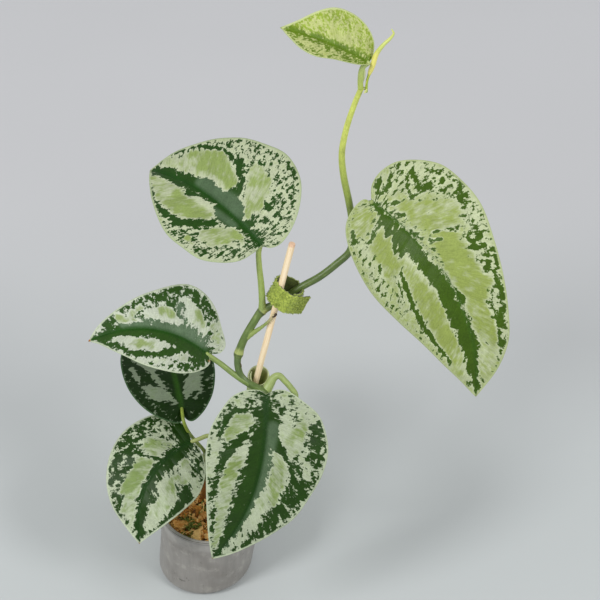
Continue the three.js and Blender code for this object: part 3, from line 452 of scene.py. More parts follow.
def grid_faces(rows, columns, wrap=False):
    """Quads of a grid of rows x columns points, numbered row by row."""
    across = columns if wrap else columns - 1
    i, j = np.meshgrid(np.arange(rows - 1), np.arange(across), indexing="ij")
    a = i * columns + j
    b = i * columns + (j + 1) % columns
    return np.stack([a, b, b + columns, a + columns], -1).reshape(-1, 4)


def frames_along(line):
    """Two unit vectors across the line at each point, which turn as little as they can."""
    way = unit(np.gradient(line, axis=0))
    side = np.cross(way[0], (0.3, 0.9, 0.2))
    sides = []
    for tangent in way:
        side = unit(side - tangent * side.dot(tangent))
        sides.append(side)
    sides = np.array(sides)
    return sides, np.cross(way, sides)


def spokes(across, over, turn):
    """Unit vectors across a line: a row for each of its points, a column for each angle of turn."""
    return np.cos(turn)[:, None] * across[:, None] + np.sin(turn)[:, None] * over[:, None]


class Shape:
    """Points, faces and point attributes of one mesh, collected part by part."""

    def __init__(self):
        self.points = []
        self.faces = []
        self.slots = []
        self.values = {}
        self.count = 0

    def add(self, points, faces, slot=0, **values):
        points = np.asarray(points, float).reshape(-1, 3)
        self.points.append(points)
        self.faces.extend((np.asarray(faces) + self.count).tolist())
        self.slots.extend([slot] * len(faces))
        for name, value in values.items():
            size = len(points) if np.ndim(value) < 2 else (len(points), 3)
            self.values.setdefault(name, []).append(np.broadcast_to(value, size))
        self.count += len(points)

    def add_shell(self, front, back, slots=(0, 0, 0), **values):
        """A closed sheet: a grid of points, the grid at its back, and the border between them.

        Its three slots are the front's, the back's and the border's. A value that is a pair is the
        front's and the back's.
        """
        rows, columns = front.shape[:2]
        count = rows * columns
        start = self.count
        faces = grid_faces(rows, columns)
        for side, (points, order) in enumerate(((front, faces), (back, faces[:, ::-1]))):
            own = {k: v[side] if isinstance(v, tuple) else v for k, v in values.items()}
            self.add(points, order, slots[side], **own)
        border = start + np.concatenate([
            np.arange(columns),
            np.arange(1, rows) * columns + columns - 1,
            (rows - 1) * columns + np.arange(columns - 2, -1, -1),
            np.arange(rows - 2, 0, -1) * columns,
        ])
        after = np.roll(border, -1)
        self.faces.extend(np.stack([border, border + count, after + count, after], 1).tolist())
        self.slots.extend([slots[2]] * len(border))

    def add_tube(self, line, radius, sides=12, wound=False, **values):
        """A tube with round ends. radius is a number, or one for each point of the line.

        A wound tube also carries how far along and how far round it each point lies.
        """
        radius = np.broadcast_to(radius, len(line)).astype(float)
        across, over = frames_along(line)
        way = np.cross(across, over)
        turn = full_turn(sides)
        bulge = np.sqrt(1 - CAP_RADII**2)[:, None] * CAP_REACH
        centres = np.vstack([
            line[0] - way[0] * bulge[::-1] * radius[0],
            line[1:-1],
            line[-1] + way[-1] * bulge * radius[-1],
        ])
        radii = np.concatenate([CAP_RADII[::-1] * radius[0], radius[1:-1], CAP_RADII * radius[-1]])
        rings = len(CAP_RADII)
        index = np.concatenate([[0] * rings, np.arange(1, len(line) - 1), [len(line) - 1] * rings])
        points = centres[:, None] + spokes(across, over, turn)[index] * radii[:, None, None]
        for name, value in values.items():
            if np.ndim(value) == 1:
                values[name] = np.repeat(value[index], sides)
        if wound:
            values["far"] = np.repeat(lengths_along(line)[index], sides)
            values["round"] = np.tile(turn, len(centres))
        self.add(points, grid_faces(len(centres), sides, wrap=True), **values)

    def build(self, name, slot, materials, replaces=()):
        mesh = bpy.data.meshes.new(name)
        mesh.from_pydata((np.vstack(self.points) * MM).tolist(), [], self.faces)
        for material in materials:
            mesh.materials.append(material)
        mesh.polygons.foreach_set("material_index", self.slots)
        mesh.polygons.foreach_set("use_smooth", [True] * len(mesh.polygons))
        for key, parts in self.values.items():
            value = np.concatenate(parts).astype(np.float32)
            kind, field = ("FLOAT", "value") if value.ndim == 1 else ("FLOAT_VECTOR", "vector")
            mesh.attributes.new(key, kind, "POINT").data.foreach_set(field, value.ravel())
        mesh.update()
        piece = bpy.data.objects.new(name, mesh)
        bpy.context.scene.collection.objects.link(piece)
        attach(piece, "root")
        if replaces:
            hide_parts(*replaces)
        return piece


# Node materials

def linear(code):
    """An sRGB colour code as the linear colour that a shader takes."""
    values = [int(code[i:i + 2], 16) / 255 for i in (1, 3, 5)]
    return (*[v / 12.92 if v <= 0.04045 else ((v + 0.055) / 1.055) ** 2.4 for v in values], 1)


class Look:
    """A node material with a Principled shader, and short calls that add nodes to it."""

    def __init__(self, name, roughness=0.5, **constants):
        self.material = bpy.data.materials.new(name)
        self.material.use_nodes = True
        self.tree = self.material.node_tree
        self.shader = self.tree.nodes["Principled BSDF"]
        self.shader.inputs["Roughness"].default_value = roughness
        for key, value in constants.items():
            self.shader.inputs[key.replace("_", " ")].default_value = value
        self.places = self.node("ShaderNodeTexCoord").outputs["Object"]

    def node(self, kind, inputs=None, **settings):
        made = self.tree.nodes.new(kind)
        for key, value in settings.items():
            setattr(made, key, value)
        for key, value in (inputs or {}).items():
            self.feed(made.inputs[key], value)
        return made

    def feed(self, socket, value):
        if isinstance(value, bpy.types.NodeSocket):
            self.tree.links.new(value, socket)
        else:
            socket.default_value = value

    def attribute(self, name, output="Fac"):
        return self.node("ShaderNodeAttribute", attribute_name=name).outputs[output]

    def math(self, operation, a, b=0.0):
        return self.node("ShaderNodeMath", {0: a, 1: b}, operation=operation).outputs[0]

    def plus(self, a, b):
        return self.math("ADD", a, b)

    def times(self, a, b):
        return self.math("MULTIPLY", a, b)

    def vector(self, operation, a, b):
        return self.node("ShaderNodeVectorMath", {0: a, 1: b}, operation=operation).outputs[0]

    def noise(self, scale, detail=2.0, roughness=0.5, vector=None):
        made = self.node("ShaderNodeTexNoise", {
            "Vector": self.places if vector is None else vector,
            "Scale": scale, "Detail": detail, "Roughness": roughness})
        return made.outputs["Fac"]

    def stretched_noise(self, vector, scales, detail=3, roughness=0.6):
        return self.noise(1.0, detail, roughness, self.vector("MULTIPLY", vector, scales))

    def tube_noise(self, round_scale, far_scale, detail=3, roughness=0.6):
        """Noise in lines along a wound tube."""
        vector = self.node("ShaderNodeCombineXYZ", {
            0: self.times(self.attribute("round"), round_scale),
            1: self.times(self.attribute("far"), far_scale)}).outputs[0]
        return self.noise(1.0, detail, roughness, vector)

    def swing(self, value, size):
        """A noise value moved to lie around 0, times size."""
        return self.times(self.math("SUBTRACT", value, 0.5), size)

    def swings(self, *pairs):
        """The sum of the swings of these (value, size) pairs."""
        total = self.swing(*pairs[-1])
        for value, size in pairs[-2::-1]:
            total = self.plus(self.swing(value, size), total)
        return total

    def ramp(self, value, low, high, start=0.0, end=1.0):
        return self.node("ShaderNodeMapRange", {
            "Value": value, "From Min": low, "From Max": high, "To Min": start, "To Max": end,
        }, interpolation_type="SMOOTHSTEP").outputs[0]

    def mix(self, share, a, b):
        made = self.node("ShaderNodeMix", data_type="RGBA")
        for index, value in ((0, share), (6, a), (7, b)):
            self.feed(made.inputs[index], linear(value) if isinstance(value, str) else value)
        return made.outputs[2]

    def layers(self, colour, *layers):
        """The colour with (share, colour) layers laid over it in turn."""
        for share, over in layers:
            colour = self.mix(share, colour, over)
        return colour

    def shade(self, colour, factor):
        """The colour made lighter or darker by a factor."""
        made = self.node("ShaderNodeVectorMath", {0: colour}, operation="SCALE")
        self.feed(made.inputs["Scale"], factor)
        return made.outputs[0]

    def vary(self, colour, *pairs):
        """The colour made lighter and darker by the swings of these (value, size) pairs."""
        return self.shade(colour, self.plus(1, self.swings(*pairs)))

    def finish(self, colour, bump=None, depth=0.0002, strength=0.5, roughness=None):
        self.feed(self.shader.inputs["Base Color"], colour)
        if roughness is not None:
            self.feed(self.shader.inputs["Roughness"], roughness)
        if bump is not None:
            raised = self.node("ShaderNodeBump", {
                "Height": bump, "Strength": strength, "Distance": depth})
            self.feed(self.shader.inputs["Normal"], raised.outputs[0])
        return self.material


def leaf_top_look(name, seed):
    dark, vivid, silver, light, rim = PALETTES[name]
    finer, soft, painted_sheen_and_tint_strength, painted_sheen_and_tint_colour = LEAF_MARKS_PAINTED_SHEEN_AND_TINT.get(name, PLAIN_MARKS_PAINTED_SHEEN_AND_TINT)
    look = Look(f"{name}_top", roughness=0.45, Specular_IOR_Level=0.16)
    grain = look.attribute("grain", "Vector")
    tone = look.attribute("tone")
    shifted = look.vector("ADD", look.places, (seed, seed, seed))
    streak = look.stretched_noise(grain, (0.62 * finer, 0.17 * finer, 1))
    speck = look.noise(430 * finer, 2.5, 0.55, shifted)
    fine = look.noise(1200, 2, 0.6, shifted)
    patchy = look.noise(150, 4, 0.6, shifted)
    lines = look.stretched_noise(grain, (2.2, 0.12, 1))

    unsure = look.math("SUBTRACT", 1.45, look.math("ABSOLUTE", tone))
    specks = look.times(unsure, look.swings((speck, 2.8), (fine, 1.2)))
    pale = look.ramp(look.plus(tone, look.plus(look.swing(streak, 4.0), specks)), -soft, soft)

    inside = look.ramp(look.plus(tone, look.times(specks, 0.3)), 0.1, 0.7)
    greenish = look.plus(look.attribute("green"), look.swings((patchy, 2.0), (streak, 1.6)))
    green = look.times(look.ramp(greenish, 0.05, 0.95), inside)
    light_part = look.vary(look.mix(green, silver, light), (fine, 0.45), (lines, 0.6), (patchy, 0.5))

    near_midrib = look.ramp(look.attribute("mid"), 2.8, 0.4)
    # Painted reflection: grey laid over the dark green; on leaf_f the same mix lays its own yellow-green
    dark_with_painted_sheen_and_tint = look.mix(look.times(look.attribute("sheen"), painted_sheen_and_tint_strength), dark, painted_sheen_and_tint_colour)
    dark_part = look.vary(look.mix(look.times(near_midrib, 0.75), dark_with_painted_sheen_and_tint, vivid),
                          (fine, 0.6), (patchy, 0.7), (lines, 0.4))

    edge = look.ramp(look.plus(look.attribute("rim"), look.swing(streak, 1.2)), 1.25, 0.5)
    colour = look.mix(look.times(edge, 0.85), look.mix(pale, dark_part, light_part), rim)
    colour = look.mix(look.ramp(look.attribute("brown"), 0.2, 0.8), colour, "#a8692c")
    bump = look.plus(look.times(lines, 0.6), look.times(speck, 0.5))
    return look.finish(colour, bump, 0.00035, 0.6, look.ramp(pale, 0, 1, 0.4, 0.5))


def leaf_back_look():
    look = Look("leaf_back", roughness=0.6)
    lines = look.stretched_noise(look.attribute("grain", "Vector"), (1.6, 0.1, 1))
    patch = look.noise(220, 3, 0.6)
    share = look.ramp(look.plus(look.attribute("tone"), look.swing(patch, 1.6)), -0.5, 0.6)
    colour = look.mix(share, "#7b9666", "#97af7e")
    near_midrib = look.ramp(look.attribute("mid"), 1.6, 0.6)
    colour = look.mix(look.times(near_midrib, 0.6), colour, "#b4c28e")
    return look.finish(look.vary(colour, (lines, 0.25)), lines, 0.0003, 0.5)


def stem_look():
    look = Look("stem_green", roughness=0.36)
    fresh = look.attribute("fresh")
    node = look.attribute("node")
    lines = look.tube_noise(2.2, 0.09)
    mottle = look.noise(260, 4, 0.6)
    specks = look.noise(1500, 2, 0.5)
    worn = look.ramp(look.plus(lines, look.swing(mottle, 0.5)), 0.55, 0.75, 0, 0.6)
    pale = look.ramp(look.plus(node, look.swing(lines, 0.9)), 0.2, 0.9)
    colour = look.layers(
        "#5f7539", (look.ramp(fresh, 0, 0.6), "#a4b352"),
        (look.ramp(fresh, 0.45, 0.95), "#d0d96a"),
        (look.times(look.attribute("scar"), 0.75), "#546a3c"),
        (look.times(worn, look.ramp(fresh, 0.4, 0.1)), "#8d9a5c"),
        (look.times(node, pale), "#a3ae68"),
        # Painted shade: a dark line in the groove just below each node; the dry flake takes this dark in full
        # as its own colour
        (look.times(look.attribute("crease"), 0.75), "#46502a"),
        (look.ramp(look.attribute("old"), 0.3, 0.8), "#8a5a2c"))
    colour = look.vary(colour, (mottle, 0.8), (lines, 0.7), (specks, 0.4))
    return look.finish(colour, look.plus(lines, look.times(mottle, 0.5)), 0.0005, 0.5)


def petiole_look(name, low, high):
    look = Look(f"{name}_look", roughness=0.4)
    mottle = look.noise(300, 4, 0.6)
    lines = look.tube_noise(2.0, 0.08)
    colour = look.layers(low, (look.attribute("share"), high),
                         (look.ramp(look.attribute("wing"), 0.4, 0.7), "#c9d19a"))
    colour = look.vary(colour, (mottle, 0.5), (lines, 0.8))
    return look.finish(colour, look.plus(lines, look.times(mottle, 0.4)), 0.0005, 0.5)


def plain_plant_look(name, base, pale, roughness=0.45, knot=None):
    """A plant surface that runs from base to pale by the attribute pale, and to knot by knot."""
    look = Look(name, roughness=roughness)
    mottle = look.noise(380, 4, 0.6)
    share = look.plus(look.attribute("pale"), look.swing(mottle, 0.4))
    colour = look.mix(look.ramp(share, 0, 1), base, pale)
    if knot:
        colour = look.mix(look.attribute("knot"), colour, knot)
    return look.finish(look.vary(colour, (mottle, 0.3)), mottle, 0.0003, 0.4)


def sheath_look():
    look = Look("sheath_look", roughness=0.5)
    lines = look.stretched_noise(look.places, (900, 900, 60))
    colour = look.layers("#9cad72", (look.ramp(look.attribute("inner"), 0.3, 0.7), "#8c9654"),
                         (look.attribute("pale"), "#c4cd9a"))
    return look.finish(look.vary(colour, (lines, 0.35)), lines, 0.0004, 0.4)


def wood_look():
    look = Look("pale_wood", roughness=0.62)
    grain = look.tube_noise(2.4, 0.05, 5, 0.65)
    flecks = look.tube_noise(5.0, 0.35, 2, 0.5)
    colour = look.layers(
        "#ffeccb", (look.ramp(grain, 0.35, 0.7), "#f3d3a4"),
        (look.ramp(flecks, 0.66, 0.75, 0, 0.5), "#cfa06a"),
        (look.ramp(look.attribute("end"), 0.3, 0.9, 0, 0.6), "#d8a58c"))
    return look.finish(colour, look.plus(grain, look.times(flecks, 0.5)), 0.0003, 0.5)


def tie_look():
    look = Look("tie_fabric", roughness=0.85, Sheen_Weight=0.25)
    pebbles = look.noise(900, 3, 0.6)
    colour = look.layers("#869936", (look.ramp(pebbles, 0.3, 0.7), "#bccb58"),
                         # Painted shade: the inside face of the band is dark; the outer face is also darkened
                         # towards its tail
                         (look.ramp(look.attribute("inner"), 0.3, 0.9), "#4f5c1c"))
    return look.finish(colour, pebbles, 0.0008, 0.8)


def bark_look():
    look = Look("bark", roughness=0.9)
    mottle = look.noise(420, 5, 0.65)
    share = look.plus(look.attribute("chip"), look.swing(mottle, 0.9))
    colour = look.layers("#583516", (look.ramp(share, 0.0, 0.45), "#d08a38"),
                         (look.ramp(share, 0.45, 1.0), "#ffd187"))
    return look.finish(colour, mottle, 0.0009, 0.8)


def mix_look():
    look = Look("potting_mix_look", roughness=0.95)
    crumbs = look.noise(640, 5, 0.65)
    colour = look.mix(look.ramp(crumbs, 0.35, 0.65), "#3a230f", "#a86a2b")
    return look.finish(colour, crumbs, 0.0015, 0.9)


def moss_look():
    look = Look("moss", roughness=0.85)
    mottle = look.noise(700, 3, 0.6)
    return look.finish(look.mix(look.ramp(mottle, 0.3, 0.7), "#5a6c26", "#a5b158"), mottle, 0.0005, 0.5)


def pot_look():
    look = Look("grey_plastic", roughness=0.38)
    broad = look.noise(45, 3, 0.6)
    vertical = look.stretched_noise(look.places, (420, 420, 45))
    cloudy = look.noise(130, 4, 0.65)
    dots = look.noise(420, 2, 0.5)
    # Painted shade: the pot's body below the lip is darker, while the lip and the band under it stay light
    painted_body_shade = look.ramp(look.plus(look.attribute("height"), look.swing(broad, 0.3)), 0.9, 0.8)
    colour = look.layers(
        "#a9a6a1", (look.times(painted_body_shade, 0.75), "#84807b"),
        (look.times(look.ramp(broad, 0.45, 0.75), 0.45), "#6d6761"),
        (look.times(look.attribute("inside"), 0.4), "#5d5248"),
        (look.ramp(cloudy, 0.5, 0.72, 0, 0.45), "#b3afa6"),
        (look.ramp(dots, 0.68, 0.74, 0, 0.5), "#5a544e"))
    scuffed = look.ramp(look.plus(look.attribute("scuff"), look.swing(cloudy, 0.8)), 0.35, 0.6)
    colour = look.layers(look.vary(colour, (vertical, 0.4)), (look.attribute("ridge"), "#2f2a26"),
                         (scuffed, "#45403b"))
    return look.finish(colour, look.plus(broad, look.times(vertical, 0.4)), 0.0006, 0.35)


def floor_look():
    look = Look("backdrop", roughness=0.9)
    soft = look.noise(3, 2, 0.5)
    depth = look.node("ShaderNodeSeparateXYZ", {0: look.places}).outputs[1]
    colour = look.mix(look.ramp(depth, 0.0, 0.5), "#c5caca", "#c9cacc")
    colour = look.shade(colour, look.ramp(soft, 0.3, 0.7, 0.99, 1.01))
    # Painted light: lighter towards the back, by up to a quarter
    return look.finish(look.shade(colour, look.ramp(depth, -0.05, 0.9, 0.97, 1.24)))


# Leaves

LEAF_ROWS = 150
LEAF_COLUMNS = 44
LATERAL_VEINS = (0.2, 0.33, 0.46, 0.59, 0.72, 0.85)
VEIN_SPACING = 0.13
# Half width of the leaf whose creases have their full depth
LARGE_HALF_WIDTH = 38
MIDRIB_DEPTH = 0.55
VEIN_DEPTH = 0.28
PILLOW_DEPTH = 0.35
RIM_THICKNESS = 0.3
BLADE_THICKNESS = 0.65
KEEL_THICKNESS = 1.1
# Distance in metres within which a blade's points become one, where its rows run together
WELD_DISTANCE = 0.000001


def mark_distance(u, v, mark):
    """Distance in mm outside a tapered mark, less than 0 inside it."""
    u0, v0, r0, u1, v1, r1 = mark[:6]
    du, dv = u1 - u0, v1 - v0
    share = np.clip(((u - u0) * du + (v - v0) * dv) / (du * du + dv * dv), 0, 1)
    return np.hypot(u - u0 - du * share, v - v0 - dv * share) - lerp(r0, r1, share)


def painted(u, v, rim, marks, grain, seed):
    """Tone and green at each point, from the leaf's base values and its marks.

    The marks' edges are torn along the veins, by a shift that is long with the grain.
    """
    tone = lerp(marks["edge"], marks["base"], smooth(0.8, 3.2, rim))
    green = np.full_like(u, marks["green"])
    stretched = grain * (1, 0.35, 1)
    tear = 1.1 * ripple(stretched, 3.4, seed) + 0.7 * ripple(stretched, 1.7, seed + 1)
    for mark in marks["marks"]:
        softness = min(2.4, max(0.9, 0.5 * (mark[2] + mark[5])))
        outside = mark_distance(u, v, mark) + tear * min(1, softness / 1.6)
        tone = lerp(tone, mark[6], smooth(softness, -softness, outside))
        green = lerp(green, mark[7], smooth(2.6, -3.0, outside))
    return tone, green


def midrib_left(leaf, length, u):
    return np.where(u > 0, leaf["sweep"] * 4 * (u / length) * (1 - u / length), 0)


def leaf_plan(leaf, length):
    """A leaf's grid laid flat: along, left, share along, share out and reach from midrib to rim."""
    share = np.linspace(0, 1, LEAF_ROWS + 1)
    out = np.linspace(0, 1, LEAF_COLUMNS + 1)
    rib_along = length * share**2
    rib = np.stack([rib_along, midrib_left(leaf, length, rib_along)], 1)
    halves = []
    for key in ("right_rim", "left_rim"):
        rim = at_shares(spline([(0, 0), *leaf[key], (length, 0)]), share)
        halves.append(rib[:, None] + (rim - rib)[:, None] * out[None, :, None])
    plane = np.concatenate([halves[0][:, :0:-1], halves[1]], axis=1)
    outs = np.broadcast_to(np.concatenate([-out[:0:-1], out]), plane.shape[:2])
    shares = np.broadcast_to(share[:, None], plane.shape[:2])
    reaches = [np.linalg.norm(half[:, -1] - rib, axis=1)[:, None] for half in halves]
    return plane[..., 0], plane[..., 1], shares, outs, np.where(outs < 0, *reaches)


def leaf_relief(size, u, v, shares, away, mid, seed):
    """How far the creases, pillows and waves raise a leaf's top over its smooth bend."""
    relief = -MIDRIB_DEPTH * size * bell(mid, 0, 1.1) * smooth(0, 0.1, shares)
    for vein in LATERAL_VEINS:
        across = smooth(0, 0.12, away) * smooth(1, 0.6, away)
        relief = relief - VEIN_DEPTH * size * bell(shares, vein, 0.012) * across
    pillow = np.cos((shares - LATERAL_VEINS[0]) / VEIN_SPACING * 2 * math.pi)
    relief = relief - PILLOW_DEPTH * size * pillow * smooth(0, 0.4, away) * smooth(1, 0.55, away)
    flat = np.stack([u, v], -1)
    relief = relief + 0.3 * ripple(flat, 26, seed) * smooth(0, 0.3, away)
    return relief + 0.5 * ripple(flat, 30, seed + 50) * away**4


def blade(name, seed):
    leaf = LEAVES[name]
    base = np.array(leaf["base"], float)
    along = np.array(leaf["tip"], float) - base
    length = np.linalg.norm(along)
    along = along / length
    left = np.array(leaf["left"], float)
    left = unit(left - along * left.dot(along))
    up = np.cross(along, left)

    u, v, shares, outs, reach = leaf_plan(leaf, length)
    away = np.abs(outs)
    rim = np.minimum((1 - away) * reach, np.hypot(u - length, v) + 0.2)
    mid = away * reach
    t = u / length
    x = (v - midrib_left(leaf, length, u)) / leaf["half_width"]
    height = leaf["arch"] * 4 * t * np.where(t > 0, 1 - t, 1)
    height = height - leaf["droop"] * x * x + leaf["fold"] * (np.sqrt(x * x + 0.01) - 0.1)
    height = height + leaf_relief(leaf["half_width"] / LARGE_HALF_WIDTH, u, v, shares, away, mid, seed)
    thick = lerp(BLADE_THICKNESS, RIM_THICKNESS, away**2) * np.minimum(1, 0.5 + rim / 2)
    keel = bell(mid, 0, 0.9) * smooth(1.02, 0.3, shares) * smooth(-0.1, 0.1, shares)
    thick = thick + KEEL_THICKNESS * keel
    top = base + u[..., None] * along + v[..., None] * left + height[..., None] * up
    under = top - thick[..., None] * up

    # Place along and across the blade, with each half of each leaf in a part of the noise of its own
    grain = np.stack([shares * length, mid, np.sign(outs) * 40 + seed * 7.0], -1)
    tone, green = painted(u, v, rim, LEAF_MARKS[name], grain, seed)
    sheen = np.zeros_like(u)
    # Painted reflection on one side of the midrib only, so that it ends sharply at the fold; on leaf_f its
    # yellow-green tint
    for mark in LEAF_PAINTED_SHEEN_AND_TINT[name]:
        same_side = outs * mark[1] > 0
        sheen = np.maximum(sheen, smooth(1.8, -1.5, mark_distance(u, v, mark)) * same_side)
    brown = np.zeros_like(u)
    for far, spot_u, spot_v, outer, inner, strength in LEAF_BROWN.get(name, ()):
        off = np.hypot(u - far * length - spot_u, v - spot_v)
        brown = brown + strength * smooth(outer, inner, off)
    values = {"tone": tone, "green": green, "rim": rim, "mid": mid, "brown": brown, "sheen": sheen}
    values = {key: value.ravel() for key, value in values.items()}
    shape = Shape()
    shape.add_shell(under, top, (1, 0, 1), grain=grain.reshape(-1, 3), **values)
    return shape


def build_leaves():
    back_look = leaf_back_look()
    for number, name in enumerate(LEAVES):
        slot = "young_leaf" if name == "leaf_f" else "variegated_leaf"
        piece = blade(name, number + 3).build(
            f"{name}_blade", slot, [leaf_top_look(name, number * 0.37), back_look], [name])
        weld = piece.modifiers.new("weld", "WELD")
        weld.merge_threshold = WELD_DISTANCE


# Stem, petioles, root, shoot and bract

STEM_RINGS = 900
FLAKE_ROUTE = [
    (27.4, -10.2, 173.8), (27.8, -10.6, 172.8), (27.9, -10.8, 171.8), (27.6, -10.8, 171.2),
]
# How far out, as a share of its reach, and how far down a root is at each bend
ROOT_BENDS = ((0, 0), (0.4, 2), (0.8, 6), (1, ROOT_START[2] - ROOT_FOOT))
ROOT_RADIUS = (1.1, 0.66)
ROOT_RINGS = 24
PETIOLE_RINGS = 90
# Petioles whose foot isn't widened
STRAIGHT_FEET = ("petiole_c", "petiole_f")
WING_ROWS = 30
WING_WIDTH = 1.5
WING_WAY = np.array([0.95, -0.3, 0.1])
AERIAL_RINGS = 60
ROOT_HAIRS = 26
KNOT_ROUTE = [(45.6, -6, 202.9), (46.3, -6.1, 203.6), (47.2, -5.8, 204.4)]
SHOOT_RINGS = 90
BRACT_POINTS = 40
# Height and radius of each of the bract's two ridges
BRACT_RIDGES = ((335.1, 2.05), (336.0, 2.25))
BRACT_CENTRE = (89.3 + 0.35, 2.5 - 0.4)


def near_nodes(line, reach):
    """How close each point of a line is to the nodes of the stem, 1 at a node."""
    return sum(bell(np.linalg.norm(line - np.array(n, float), axis=1), 0, reach) for n in STEM_NODES)


def build_stem():
    line, share = even_line(STEM_ROUTE, STEM_RINGS)
    far = lengths_along(line)
    height = line[:, 2]
    below_node = smooth(159, 164, height) * smooth(177, 176, height)
    radius = lerp(*STEM_RADIUS, share) + 0.45 * near_nodes(line, 2.4) + 0.12 * near_nodes(line, 0.7)
    radius = radius - 0.35 * below_node - 0.28 * smooth(0.8, 1, share)
    pale = np.zeros(STEM_RINGS)
    crease = np.zeros(STEM_RINGS)
    for place in STEM_NODES:
        past = far - far[np.argmin(np.linalg.norm(line - place, axis=1))]
        pale = np.maximum(pale, smooth(-0.2, 0.2, past) * smooth(6, 1, past))
        # Painted shade in the groove just below each node
        crease = np.maximum(crease, bell(past, -0.5, 0.45))
    stem = Shape()
    stem.add_tube(line, radius, 20, wound=True, fresh=smooth(230, 335, height), node=pale,
                  scar=below_node, old=smooth(78, 60, height), crease=crease)
    stem.add_tube(spline(FLAKE_ROUTE, 5), 0.28, 6, wound=True,
                  fresh=0.0, node=0.0, scar=1.0, old=0.45, crease=1.0)
    for degrees in ROOT_TURNS:
        x, y, z = ROOT_START
        cosine, sine = math.cos(math.radians(degrees)), math.sin(math.radians(degrees))
        route = [(x + cosine * ROOT_REACH * out, y + sine * ROOT_REACH * out, z - drop)
                 for out, drop in ROOT_BENDS]
        root_line = even_line(route, ROOT_RINGS)[0]
        stem.add_tube(root_line, np.linspace(*ROOT_RADIUS, ROOT_RINGS), 8, wound=True,
                      fresh=0.0, node=0.0, scar=0.0, old=1.0, crease=0.0)
    stem.build("stem", "stem", [stem_look()], ["main_stem"])


def add_wing(piece, line):
    """The thin wing along the youngest petiole."""
    share = np.linspace(0, 1, WING_ROWS)
    inner = at_shares(line, lerp(0.15, 0.8, share)) + WING_WAY * 0.9
    width = WING_WIDTH * np.sin(np.pi * lerp(0.02, 0.98, share))
    flat = np.stack([inner, inner + WING_WAY * width[:, None]], 1)
    piece.add_shell(flat, flat + np.array([0, 0.25, 0]), far=0.0, round=0.0, share=0.5, wing=1.0)


def build_petioles():
    for name, (low_radius, high_radius, low, high, route) in PETIOLES.items():
        line, share = even_line(route, PETIOLE_RINGS)
        radius = lerp(low_radius, high_radius, share)
        if name not in STRAIGHT_FEET:
            radius = radius + 0.35 * smooth(0.16, 0, share)
        if name == "petiole_g":
            radius = radius + 0.7 * smooth(0.3, 0.1, share)
        piece = Shape()
        piece.add_tube(line, radius, 16, wound=True, share=share, wing=0.0)
        if name == "petiole_f":
            add_wing(piece, line)
        piece.build(f"{name}_stalk", "stem", [petiole_look(name, low, high)], [name])


def build_aerial_root():
    line, share = even_line(AERIAL_ROUTE, AERIAL_RINGS)
    radius = lerp(1.75, 0.8, smooth(0, 0.7, share)) + 0.06 * np.sin(share * 60)
    aerial = Shape()
    aerial.add_tube(line, radius, 14, pale=smooth(0.6, 0.95, share) * 0.9, knot=0.0)
    rng = np.random.default_rng(5)
    for _ in range(ROOT_HAIRS):
        start = line[rng.integers(34, 58)]
        way = unit(rng.normal(size=3) + np.array([0.4, -0.3, 0.2]))
        hair = np.array([start, start + way * 1.2, start + way * 2.0 + np.array([0, 0, -0.3])])
        aerial.add_tube(spline(hair, 5), 0.09, 5, pale=1.0, knot=0.0)
    aerial.add_tube(spline(KNOT_ROUTE, 6), 0.75, 10, pale=0.0, knot=1.0)
    look = plain_plant_look("root_look", "#8b9d54", "#c2b48c", 0.6, "#3c2a1a")
    aerial.build("aerial_root_hairy", "aerial_root", [look], ["aerial_root"])


def build_shoot():
    line, share = even_line(SHOOT_ROUTE, SHOOT_RINGS)
    radius = np.interp(share, (0, 0.24, 0.33, 0.5, 0.7, 0.9, 1), (0.6, 0.65, 1.2, 1.3, 1.0, 0.6, 0.25))
    shoot = Shape()
    shoot.add_tube(line, radius, 16, pale=smooth(0.24, 0.31, share), knot=0.85 * smooth(0.52, 0.68, share))
    turn = (2.4 * share * math.pi)[:, None]
    across, over = frames_along(line)
    seam = line + (np.cos(turn) * across + np.sin(turn) * over) * radius[:, None] * 0.93
    shoot.add_tube(seam[6:-2], 0.16, 6, pale=0.75, knot=0.0)
    look = plain_plant_look("shoot_look", "#a8bf38", "#efe67c", 0.4, "#c6d474")
    shoot.build("rolled_new_leaf", "new_shoot", [look], ["new_shoot"])


def build_bract():
    bract = Shape()
    turn = np.linspace(math.radians(-60), math.radians(75), BRACT_POINTS)
    ridge_radius = 0.42 * np.sin(np.linspace(0.15, math.pi - 0.15, BRACT_POINTS)) ** 0.5
    for level, radius in BRACT_RIDGES:
        ring = np.stack([np.cos(turn) * radius, np.sin(turn) * radius, 0.5 * np.cos(turn - 0.3)], 1)
        bract.add_tube(np.array([*BRACT_CENTRE, level]) + ring, ridge_radius, 8, pale=1.0)
    look = plain_plant_look("bract_look", "#b9c65a", "#d9dc8c", 0.5)
    bract.build("bract_collar", "new_shoot", [look], ["node_bract"])


# Rolled sheath, stick and hook-and-loop tie

SHEATH_GRID = (160, 20)
# How far the sheath's outside and inside lie from its middle
SHEATH_LIFTS = (0.28, -0.28)
STICK_RINGS = 260
STICK_SIDES = 28
STICK_TIP_RADIUS = 0.5
# Shares of its width beyond which the tie's edges are ragged, and points across it
TIE_EDGE = 0.4
TIE_COLUMNS = 29
TIE_TAIL_POINTS = 20
TIE_HOOKS = 1200


